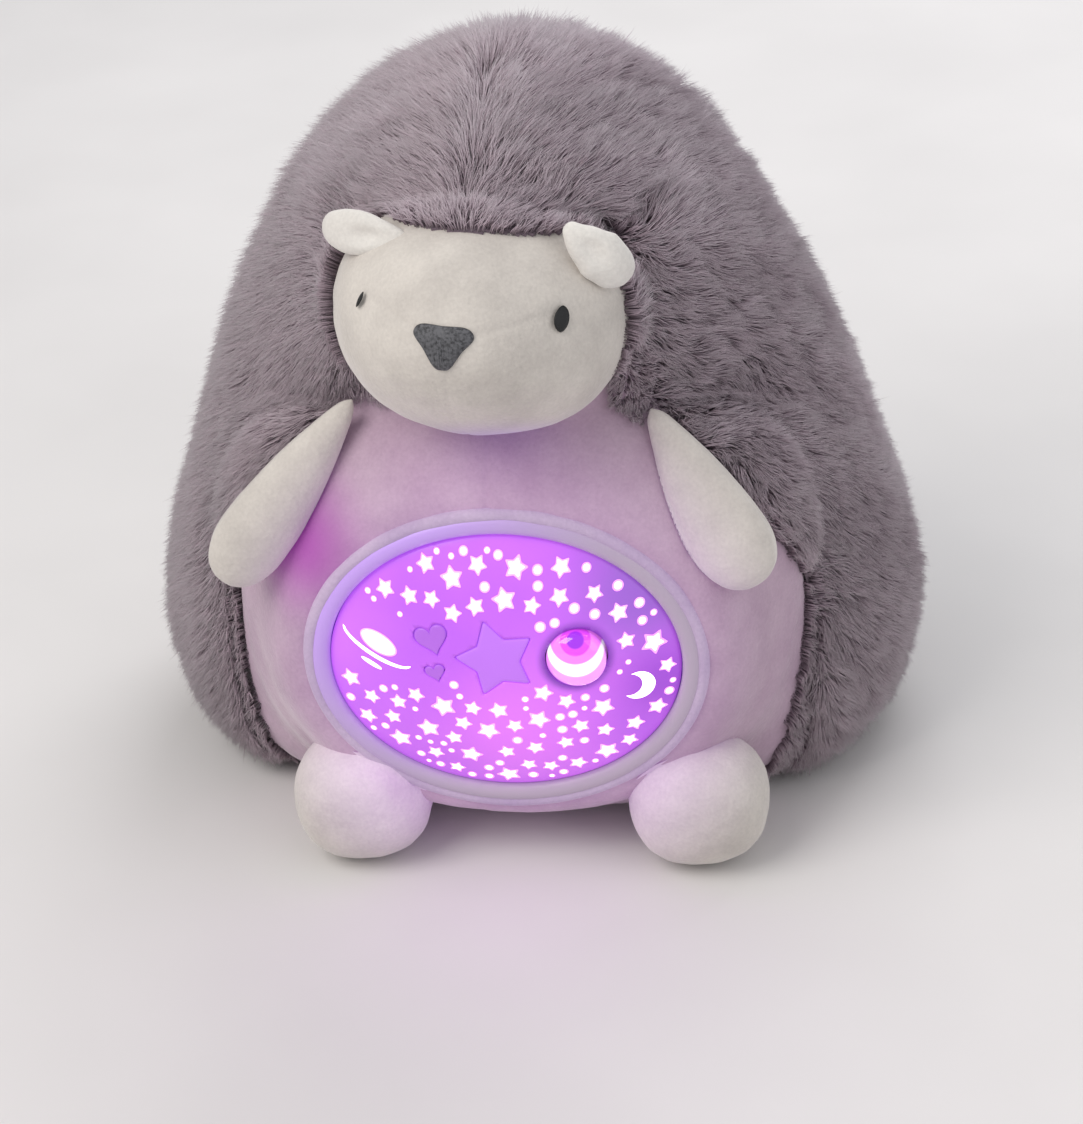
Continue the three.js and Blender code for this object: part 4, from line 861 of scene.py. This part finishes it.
def back_sheet(name, half, low, high, *grows):
    """A sheet of the coat's backing across the back, between two depths."""
    xx, zz = np.meshgrid(np.linspace(-half, half, 40), np.linspace(low, high, 40))
    shells = []
    for grow in grows:
        width, _, back, middle = level(zz, grow)
        shells.append(np.stack([xx, middle + back * np.sqrt(1 - (xx / width) ** 2), zz], -1))
    return mesh_object(name, *thick_sheet(*shells), FUR_SKIN)


def make_flap_skin():
    """The flap's backing, and the cloth behind its upper edge that joins it to the coat."""
    skin = back_sheet("flap_backing", WINDOW_HALF - 0.6, WINDOW_LOW + 0.6, WINDOW_HIGH - 0.6, SKIN - PILE, 0.5 - PILE)
    finish_piece(skin, ["back_flap"], "flap")
    fold = back_sheet("flap_fold", WINDOW_HALF - 0.2, WINDOW_HIGH - 9, WINDOW_HIGH + 3, 0.45 - PILE, -0.15 - PILE)
    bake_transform(fold)


def coat_roots(count, rng):
    """Places for hairs, spread evenly over the coat's skin, with the normals there."""
    rows, cols = 240, 340
    z = np.linspace(0.4, BODY_HEIGHT - PILE + SKIN - 0.05, rows)
    grid = plush_points(z[:, None], np.linspace(0, 2 * np.pi, cols)[None], SKIN)
    n = np.cross(grid[:-1, 1:] - grid[:-1, :-1], grid[1:, :-1] - grid[:-1, :-1])
    area = np.linalg.norm(n, axis=-1)
    n = unit(n)
    n *= np.sign((n * (grid[:-1, :-1] - [0, 0, 90])).sum(-1))[..., None]
    pick = rng.choice(area.size, count, p=(area / area.sum()).ravel())
    i, j = np.unravel_index(pick, area.shape)
    s, t = rng.random((count, 1)), rng.random((count, 1))
    p = (grid[i, j] * (1 - s) * (1 - t) + grid[i + 1, j] * s * (1 - t) + grid[i, j + 1] * (1 - s) * t
         + grid[i + 1, j + 1] * s * t)
    return p, n[i, j], count / area.sum()


def head_roots(density, rng):
    """Hairs of the hood that stand on the head above the face, as dense as the coat's."""
    reach = 60.0
    d = rng.normal(size=(int(4 * np.pi * reach ** 2 * density), 3))
    d = unit(d)
    r = head_radius(d)
    p = (d * r[:, None]) @ HEAD_TURN.T + HEAD_AT
    keep = (rng.random(len(d)) < (r / reach) ** 2) & (body_depth(p, SKIN - PILE) < 0)
    keep &= (p[:, 2] > seam_height(p[:, 0])) | beside_head(p, d, 0)
    return p[keep], (d @ HEAD_TURN.T)[keep]


def ruffle(p):
    """Where the pile is ruffled: more on the right and above the forehead, less on the smooth left."""
    right = 1 / (1 + np.exp(-(p[:, 0] - 8) / 12))
    return 0.3 + 0.7 * right * np.clip(0.75 + 0.5 * waves(p, 70, 60), 0.2, 1.2)


def comb(p, n, rough, rng):
    """The way the pile lies: down, but above the face up and away from the parting, in ruffled tufts."""
    front = np.clip((30 - p[:, 1]) / 50, 0, 1)
    crown = (front * np.clip((p[:, 2] - 165) / 45, 0, 1))[:, None]
    across = np.tanh((p[:, 0] + 4) / 10)
    down = np.stack([0.5 * p[:, 0] / BODY_HALF, 0.1 + 0 * across, -0.9 + 0 * across], -1)
    parted = np.stack([0.8 * across, 0.1 + 0 * across, 0.6 + 0 * across], -1)
    way = down * (1 - crown) + parted * crown
    way = unit(way - (way * n).sum(1)[:, None] * n)
    side = np.cross(n, way)
    angle = rough * (0.7 * waves(p, 38, 61) + 0.9 * waves(p, 13, 62)) + 0.3 * rng.normal(size=len(p))
    return way * np.cos(angle)[:, None] + side * np.sin(angle)[:, None]


def grow_pile(p, n, way, rough, rng, share, fringe):
    """Centre lines of the hairs as three points each, gathered into tufts, with a tone for each hair that includes
    painted shade between tufts.
    """
    count = len(p)
    room = np.where(body_depth(p, 0) > 3, np.clip(body_depth(p, 0) / 11.5, 0.5, 1.1), 0.8)
    size = PILE_LENGTH * share * room * (1 + 0.05 * waves(p, 24, 71) + 0.07 * rng.normal(size=count)).clip(0.7, 1.2)
    stand = (0.83 + 0.13 * rough - 0.1 * rough * np.abs(waves(p, 9, 72)) + 0.04 * rng.normal(size=count)
             - 0.2 * fringe).clip(0.4, 0.985)
    lie = np.sqrt(1 - stand ** 2)
    jitter = rng.normal(size=(count, 3)) * 0.09
    tip = p + size[:, None] * (stand[:, None] * n + lie[:, None] * way + jitter)
    bend = p + 0.55 * size[:, None] * (np.minimum(stand + 0.1, 0.99)[:, None] * n + 0.2 * way + 0.5 * jitter)
    # painted shade in the gaps between small tufts, and a little painted light on hairs along the forehead's seam and
    # the opening's edge
    shade = 0.5 + 0.04 * fringe + 0.1 * waves(p, 60, 73) + 0.15 * rough * waves(p, 7, 74)
    shade += 0.08 * rng.normal(size=count)
    for area, pull, seed in ((5, 0.3, 1), (40, 0.16, 2)):
        chosen = np.random.default_rng(80 + seed).choice(count, max(int(COAT_AREA / area), 1), replace=False)
        tree = kdtree.KDTree(len(chosen))
        for k, i in enumerate(chosen):
            tree.insert(p[i], k)
        tree.balance()
        near = chosen[[tree.find(q)[1] for q in p]]
        amount = (pull * (0.6 + 0.8 * rough) + 0.1 * rng.normal(size=count)).clip(0, 0.85)[:, None]
        shift = (tip[near] - tip) * amount
        tip = tip + shift
        bend = bend + shift * 0.3
        shade += 0.05 * np.sin(near * 12.9898) * (0.5 + rough)
    return np.stack([p - 0.6 * n, bend, tip]), shade.clip(0.02, 0.98)


def hair_object(name, lines, shade, body, thick):
    """Closed three-sided tapered hairs along their centre lines."""
    count = lines.shape[1]
    along = unit(np.stack([lines[1] - lines[0], lines[2] - lines[0]]))
    side = unit(np.cross(along, [0.31, 0.83, 0.47]))
    other = np.cross(along, side)
    rings = [lines[k] + thick * width * (side[k] * math.cos(a) + other[k] * math.sin(a))
             for k, width in enumerate((0.8, 1.0)) for a in around(3)]
    points = np.stack(rings + [lines[2]], 1)
    tris, uv = [(0, 2, 1)], [((0, 0), (2, 0), (1, 0))]
    for c in range(3):
        d = (c + 1) % 3
        tris += [(c, d, 3 + d), (c, 3 + d, 3 + c), (3 + c, 3 + d, 6)]
        uv += [((c, 0), (c + 1, 0), (c + 1, 1)), ((c, 0), (c + 1, 1), (c, 1)), ((c, 1), (c + 1, 1), (c + 0.5, 2))]
    tris, uv = np.array(tris), np.array(uv, float)
    index = (tris[None] + 7 * np.arange(count)[:, None, None]).reshape(-1)
    v = np.interp(uv[..., 1], [0, 1, 2], [0.0, 0.55, 1.0])
    u = shade[:, None, None] + (uv[None, ..., 0] - 1.5) * 0.002
    coords = np.stack([u, np.broadcast_to(0.01 + 0.98 * v, u.shape)], -1).reshape(-1)
    mesh = bpy.data.meshes.new(name)
    mesh.vertices.add(7 * count)
    mesh.vertices.foreach_set("co", (points.reshape(-1) * MM).astype(np.float32))
    mesh.loops.add(len(index))
    mesh.loops.foreach_set("vertex_index", index.astype(np.int32))
    total = len(tris) * count
    mesh.polygons.add(total)
    mesh.polygons.foreach_set("loop_start", np.arange(0, 3 * total, 3, dtype=np.int32))
    mesh.polygons.foreach_set("loop_total", np.full(total, 3, np.int32))
    mesh.update(calc_edges=True)
    layer = mesh.uv_layers.new(name="OFBake")
    layer.data.foreach_set("uv", coords.astype(np.float32))
    mesh.polygons.foreach_set("use_smooth", np.ones(total, bool))
    mesh.materials.append(FUR)
    finish_piece(scene_object(name, mesh), body=body)


def arm_lines():
    """The middle lines of the arms: at rest, half lifted and lifted."""
    joints = {joint["child"]: joint for joint in frame["record"]["behaviour"]["joints"]}
    for name, ends in ARMS.items():
        joint = joints[f"arm_{name[0]}"]
        pivot = np.array(joint["pos_m"]) / MM
        for share in (0, 0.5, 1):
            way = np.array(Matrix.Rotation(math.radians(joint["range_deg"][1] * share), 3, Vector(joint["axis"])))
            yield [(np.array(q) - pivot) @ way.T + pivot for q in ends]


def clear_of_plush(lines):
    """The hairs that stay out of the head, the ears, the feet, and the arms where they lie and lift."""
    clear = np.ones(lines.shape[1], bool)
    for k in (1, 2):
        clear &= head_depth(lines[k]) < 0.6
        for middle, tip, lean, size in EARS.values():
            at, way = ear_place(middle, tip, lean)
            clear &= (((lines[k] - at) @ way / (np.array(size) + 0.4)) ** 2).sum(1) > 1
        for at in FEET.values():
            clear &= (((lines[k] - at) / (FOOT_SIZE + 0.3)) ** 2).sum(1) > 1
        for ends in arm_lines():
            away, t = near_line(lines[k], *ends)
            clear &= away > 1.5 + 10.5 * np.interp(t, *np.array(ARM_SHARES).T)
    return clear


def lap(p):
    """How far the pile laps over the belly's edge: most at the lower right."""
    return 2.5 + np.where(p[:, 0] > 0, 8, 2) * np.clip(1 - p[:, 2] / 70, 0, 1)


def over_edge(p):
    """Where the pile starts inside the opening's edge: beside the arms' roots and the neck, and along the belly."""
    reach = 19 * np.exp(-((p[:, 2] - 172) / 24) ** 4) + 1
    x, y = np.abs(p[:, 0]), axis_y(p[:, 2]) - p[:, 1]
    neck = (p[:, 2] > np.where(p[:, 0] < 0, LAP_TOP + 10, LAP_TOP)) & (x > opening_half(p[:, 2]) - reach) & (x > 33)
    heights = np.linspace(0.4, OPENING_TOP, 160)
    edge = np.interp(p[:, 2], heights, [coat_edge(z) for z in heights])
    inside = (edge - np.arctan2(x, y)) * np.hypot(x, y)
    return neck | ((p[:, 2] < LAP_TOP) & (inside < lap(p) + 1.2 * waves(p, 8, 77)))


def make_pile():
    """The pile of coat, hood and flap, always at the full count and thickness."""
    rng = np.random.default_rng(7)
    count, thick = FULL_PILE
    p, n, density = coat_roots(count, rng)
    keep = ~in_opening(p, 0.0) | over_edge(p)
    hp, hn = head_roots(density, rng)
    p, n = np.vstack([p[keep], hp]), np.vstack([n[keep], hn])
    rough = ruffle(p)
    rise = np.concatenate([np.full(keep.sum(), FAR), hp[:, 2] - seam_height(hp[:, 0])])
    beside = rise < 0
    rise[beside] = FAR
    way = comb(p, n, rough, rng)
    fringe = np.clip(1 - (rise + 1.5 * waves(p, 9, 75)) / 9, 0, 1)[:, None] ** 1.5
    way = way * (1 - 0.45 * fringe) + (np.array([0.0, -0.3, 0.6]) + 0.5 * rng.normal(size=p.shape)) * 0.45 * fringe
    inside = in_opening(p) & (rise == FAR)
    short = 1 - 0.55 * fringe[:, 0] * rng.uniform(0.6, 1.2, len(p)) - 0.2 * beside - 0.4 * inside
    side = np.clip(1 - (np.abs(p[:, 0]) - opening_half(p[:, 2])) / 9, 0, 1)
    side = (side * (p[:, 1] < OPENING_BACK) * (rise == FAR))[:, None]
    way = way - np.sign(p[:, :1]) * [0.5, 0, 0] * side
    way = unit(way + 0.3 * rng.normal(size=p.shape) * np.maximum(side, beside[:, None]))
    lines, shade = grow_pile(p, n, way, rough, rng, short, np.maximum(fringe, 0.7 * side)[:, 0])
    lines[..., 2] = np.maximum(lines[..., 2], 0.3)
    clear = clear_of_plush(lines)
    half = lines[0] + (lines - lines[0]) * 0.5
    again = ~clear & clear_of_plush(half)
    lines = np.where(again[:, None], half, lines)
    clear |= again
    tip = lines[2]
    over = np.abs(tip[:, 0]) < opening_half(tip[:, 2]) - 2 - lap(tip)
    clear &= ~(over & (tip[:, 2] < LAP_TOP) & (tip[:, 1] < OPENING_BACK))
    lines, shade, p = lines[:, clear], shade[clear], p[clear]
    flap = (np.abs(p[:, 0]) < WINDOW_HALF) & (p[:, 1] > 0) & (p[:, 2] > WINDOW_LOW) & (p[:, 2] < WINDOW_HIGH)
    order = np.argsort(np.arctan2(p[:, 0], -(p[:, 1] - BODY_BACK)))
    for name, body, chosen in (("fur_flap", "flap", order[flap[order]]), ("fur_coat", "toy", order[~flap[order]])):
        for k, part in enumerate(np.array_split(chosen, math.ceil(len(chosen) / HAIRS_IN_PIECE))):
            hair_object(f"{name}_{k:02d}", lines[:, part], shade[part], body, thick)


# ---------------------------------------------------------------- light module

def star_outline(place, radius, waist, angle, rounding=0.16):
    """A five-pointed star with its points rounded off."""
    a = angle + math.pi + math.pi * np.arange(10) / 5
    r = np.where(np.arange(10) % 2, radius * waist, radius)
    knots = np.stack([r * np.cos(a), r * np.sin(a)], -1)
    points = []
    for i, here in enumerate(knots):
        before, after = knots[i - 1], knots[(i + 1) % 10]
        share = rounding if i % 2 == 0 else rounding * 0.5
        s, e = here + (before - here) * share, here + (after - here) * share
        points += [s, 0.25 * s + 0.5 * here + 0.25 * e, e]
    return np.array(points) + place


def heart_outline(place, width, grow=0.0):
    a = around(48)
    x = 16 * np.sin(a) ** 3
    y = 13 * np.cos(a) - 5 * np.cos(2 * a) - 2 * np.cos(3 * a) - np.cos(4 * a)
    return rotated(x, y, HEART_TURN) * (width / 2 + grow) / 16 + place


def oval_outline(place, half_u, half_v, count, angle=0.0):
    a = around(count)
    return rotated(half_u * np.cos(a), half_v * np.sin(a), angle) + place


def round_outline(place, radius, count):
    return oval_outline(place, radius, radius, count)


WINDOW_SIZES = (3.9, 4.4, 1.2, 13), (3.0, 3.6, 0.7, 40), (1.4, 1.75, 0.7, 34), (0.9, 1.2, 0.7, 26)
BUTTON_EDGE = (0.04, 0), (0.3, 0), (0.6, 0), (0.8, 0), (0.9, 0.06), (0.955, 0.22), (0.985, 0.48), (1.0, 0.95)


def window_layout():
    """A scatter of stars and dots, a ringed planet and a crescent, clear of the buttons and the lens."""
    rng = np.random.default_rng(23)
    taken = [(STAR_AT, STAR_RADIUS + 0.8), (LENS_AT, LENS_RADIUS + 1.6), (PLANET_AT, 12.4), (CRESCENT_AT, 6.4)]
    taken += [(at, width * 0.62 + 0.6) for at, width in HEARTS.values()]
    shapes = []

    def fits(q, reach, space):
        share = math.hypot(q[0] / (DOME_U - reach - 1.2), q[1] / (DOME_V - reach - 1.2))
        return share < 1 and all(math.dist(q, at) > reach + r + space for at, r in taken)

    for low, high, space, most in WINDOW_SIZES:
        found = 0
        for _ in range(9000):
            q = np.array([rng.uniform(-DOME_U, DOME_U), rng.uniform(-DOME_V, DOME_V)])
            reach, angle = rng.uniform(low, high), rng.uniform(-0.5, 0.5) + math.pi / 2
            sparse = q[0] > 12 and q[1] > 12
            if found == most or not fits(q, reach, space) or (sparse and reach > 2 and rng.random() < 0.97):
                continue
            found += 1
            taken.append((q, reach))
            for kind, star, dot, corners in (("edge", 1, 1, 14), ("light", 0.72, 0.66, 12)):
                shapes.append((star_outline(q, reach * star, 0.55, angle, 0.2) if reach > 2
                               else round_outline(q, reach * dot, corners), kind))
    tilt = math.radians(-24)
    above, below = (rotated(*at, tilt) + PLANET_AT for at in ((0, 1.6), (0.6, -6.5)))
    a = np.linspace(0, math.pi, 26)
    arc = np.vstack([np.stack([11.9 * np.cos(a), -4.0 * np.sin(a)], -1),
                     np.stack([11.2 * np.cos(a), -2.7 * np.sin(a)], -1)[::-1][1:-1]])
    shapes += [(oval_outline(above, 6.3, 3.4, 30, tilt), "edge"), (oval_outline(above, 5.7, 2.8, 30, tilt), "light"),
               (rotated(*arc.T, tilt) + PLANET_AT, "light"), (oval_outline(below, 3.6, 0.75, 20, tilt), "light")]
    a = np.linspace(math.radians(-141.6), math.radians(115.6), 30)
    outer = 5.0 * np.stack([np.cos(a), np.sin(a)], -1)
    bite = np.array([-2.8, 0.65])
    start, end = (math.atan2(*(outer[k] - bite)[::-1]) for k in (-1, 0))
    b = np.linspace(start, end, 20)[1:-1]
    inner = bite + math.dist(outer[0], bite) * np.stack([np.cos(b), np.sin(b)], -1)
    shapes.append((np.vstack([outer, inner]) + CRESCENT_AT, "light"))
    return shapes


def make_dome():
    """The dome with its holes and lit windows: flat triangles between the outlines, laid on its curve."""
    holes = [star_outline(STAR_AT, STAR_RADIUS + 0.55, STAR_WAIST, STAR_TURN, 0.12)]
    holes += [heart_outline(at, width, 0.4) for at, width in HEARTS.values()]
    holes.append(round_outline(LENS_AT, LENS_RADIUS + 0.3, 64))
    windows = window_layout()
    points, faces = [], []
    for loop in [oval_outline((0, 0), DOME_U, DOME_V, 180), *holes, *[loop for loop, _ in windows]]:
        u, v = loop.T
        faces.append(list(range(len(points), len(points) + len(loop))))
        points += list(loop[::-1] if np.sum(u * np.roll(v, -1) - v * np.roll(u, -1)) < 0 else loop)
    points += list(oval_outline((0, 0), DOME_U - 0.9, DOME_V - 0.9, 180))
    step = 1.9
    for i, v in enumerate(np.arange(-DOME_V, DOME_V, step * 0.866)):
        for u in np.arange(-DOME_U, DOME_U, step) + (i % 2) * step / 2:
            if math.hypot(u / (DOME_U - 1.8), v / (DOME_V - 1.8)) < 1:
                points.append((u, v))
    flat, _, tris, _, _, source = geometry.delaunay_2d_cdt([Vector(q) for q in points], [], faces, 0, 1e-5, True)
    u, v = np.array([tuple(q) for q in flat]).T
    top, kind = [], []
    for tri, ids in zip(tris, source):
        if 0 in ids and not set(ids) & set(range(1, 1 + len(holes))):
            top.append(tuple(tri))
            window = max(ids) - 1 - len(holes)
            kind.append(("", "light", "edge").index(windows[window][1]) if window >= 0 else 0)
    outer, inner = (module_points(u, v, dome_w(u, v) + depth) for depth in (0, 2.0))
    outer[np.hypot(u / DOME_U, v / DOME_V) > 0.9999, 1] += 0.25
    points, faces = closed_sheet(outer, inner, top)
    dome = mesh_object("dome_shell", points, faces, DOME)
    for material in (WINDOW, EDGE):
        dome.data.materials.append(material)
    dome.data.polygons.foreach_set("material_index", kind + [0] * (len(faces) - len(kind)))
    dome.data.update()
    finish_piece(dome, ["dome_cover"])


def button_solid(name, outline, place, wide, material):
    """A cap with a rounded edge, its flange behind the dome and its stem, in one skin."""
    arms = outline - place
    deep = float(np.max(dome_w(*(place + arms * wide).T)) + 2.9)
    a = np.arctan2(arms[:, 1], arms[:, 0])
    loops = []
    for share, drop in BUTTON_EDGE:
        flat = place + arms * share
        loops.append(module_points(*flat.T, dome_w(*flat.T) - 0.3 + drop))
    for share, w in ((1, deep), (wide, deep), (wide, deep + 1.2)):
        loops.append(module_points(*(place + arms * share).T, w))
    stem = place + 2.2 * np.stack([np.cos(a), np.sin(a)], -1)
    loops += [module_points(*stem.T, w) for w in (deep + 1.2, 15.0)]
    make_piece(f"{name}_cap", rings_mesh(loops), material, [f"{name}_button"], name)


def make_buttons():
    star = star_outline(STAR_AT, STAR_RADIUS, STAR_WAIST, STAR_TURN, 0.12)
    button_solid("star", star, STAR_AT, 1.12, BUTTON)
    for name, (at, width) in HEARTS.items():
        button_solid(name, heart_outline(at, width), at, 1.2, HEART)


def make_lens():
    u, v = LENS_AT
    edge, back = float(dome_w(u, v)) - 0.3, float(dome_w(u + LENS_RADIUS + 1.6, v)) + 2.9
    profile = [(LENS_RADIUS * math.sin(t), edge - 4.5 * math.cos(t)) for t in np.linspace(0.03, math.pi / 2, 22)]
    profile += [(LENS_RADIUS, back), (0.3, back)]
    loops = [module_points(*round_outline(LENS_AT, r, 64).T, w) for r, w in profile]
    make_piece("lens_glass", rings_mesh(loops), LENS, ["projection_lens"])


def make_bezel():
    section = [(3.2 - 2.9 * math.cos(t), 0.2 - 2.4 * math.sin(t)) for t in np.linspace(0, math.pi, 16)]
    section += [(4.0, 12), (2.1, 12), (2.1, 1.7), (0.3, 1.7)]
    make_piece("bezel_rim", oval_sweep(section), BEZEL, ["bezel_ring"])


# ---------------------------------------------------------------- inside and at the back

def soft_copy(node, name, voxel, slot, steps, body="toy", shrink=0.0):
    """A smoothed copy of a soft CAD solid, for what lies inside."""
    piece = scene_object(name, frame["nodes"][node].data.copy())
    remesh = piece.modifiers.new("remesh", "REMESH")
    remesh.mode, remesh.voxel_size = "VOXEL", voxel * MM
    smooth = piece.modifiers.new("smooth", "SMOOTH")
    smooth.iterations, smooth.factor = steps, 0.5
    if shrink:
        inset = piece.modifiers.new("inset", "DISPLACE")
        inset.strength, inset.mid_level = -shrink * MM, 0
    bpy.context.view_layer.update()
    mesh = bpy.data.meshes.new_from_object(piece.evaluated_get(bpy.context.evaluated_depsgraph_get()))
    piece.modifiers.clear()
    piece.data = mesh
    mesh.materials.clear()
    mesh.materials.append(SLOTS[slot])
    mesh.polygons.foreach_set("use_smooth", [True] * len(mesh.polygons))
    finish_piece(piece, [node], body)


def make_inside():
    soft_copy("stuffing", "fibre_fill", 4.0, "stuffing", 3, shrink=2.2)
    soft_copy("access_sleeve", "tunnel_lining", 1.1, "lining", 4)
    soft_copy("base_panel", "base_cloth", 0.8, "lining", 2)
    soft_copy("hook_strip", "hook_tape", 0.5, "closure", 1)
    soft_copy("loop_strip", "loop_tape", 0.5, "closure", 1, "flap")


# ---------------------------------------------------------------- floor and light

FLOOR_REACH = 20000


def make_stage():
    floor, nodes, shader = principled("floor")
    _, tint = mottled(nodes, (224, 221, 220), (217, 214, 213), 6, 3, 0.35, 0.7)
    feed(shader, Base_Color=tint, Roughness=0.7)
    corners = [[FLOOR_REACH * x, FLOOR_REACH * y, -0.2] for x, y in ((-1, -1), (1, -1), (1, 1), (-1, 1))]
    plane = mesh_object("floor", corners, [(0, 1, 2, 3)], floor, False)
    world = bpy.data.worlds.new("studio")
    world.use_nodes = True
    feed(world.node_tree.nodes["Background"], Color=(0.86, 0.87, 0.89, 1), Strength=0.62)
    bpy.context.scene.world = world
    for name, at, size, power, colour in (
        ("key", (-0.75, -0.7, 1.15), 0.9, 11, (1.0, 0.97, 0.93)),
        ("fill", (0.95, -0.6, 0.7), 1.0, 2.5, (0.95, 0.96, 1.0)),
        ("rim", (0.3, 1.0, 1.0), 1.0, 8, (0.97, 0.98, 1.0)),
    ):
        light = bpy.data.lights.new(name, "AREA")
        light.size, light.energy, light.color = size, power, colour
        lamp = scene_object(name, light)
        lamp.location = at
        lamp.rotation_euler = (Vector((0, 0, 0.1)) - Vector(at)).to_track_quat("-Z", "Y").to_euler()


for make in (make_head, make_face, make_ears, make_arms, make_feet, make_belly, make_hem, make_coat_skin, make_hood,
             make_flap_skin, make_pile, make_dome, make_buttons, make_lens, make_bezel, make_inside, make_stage):
    make()
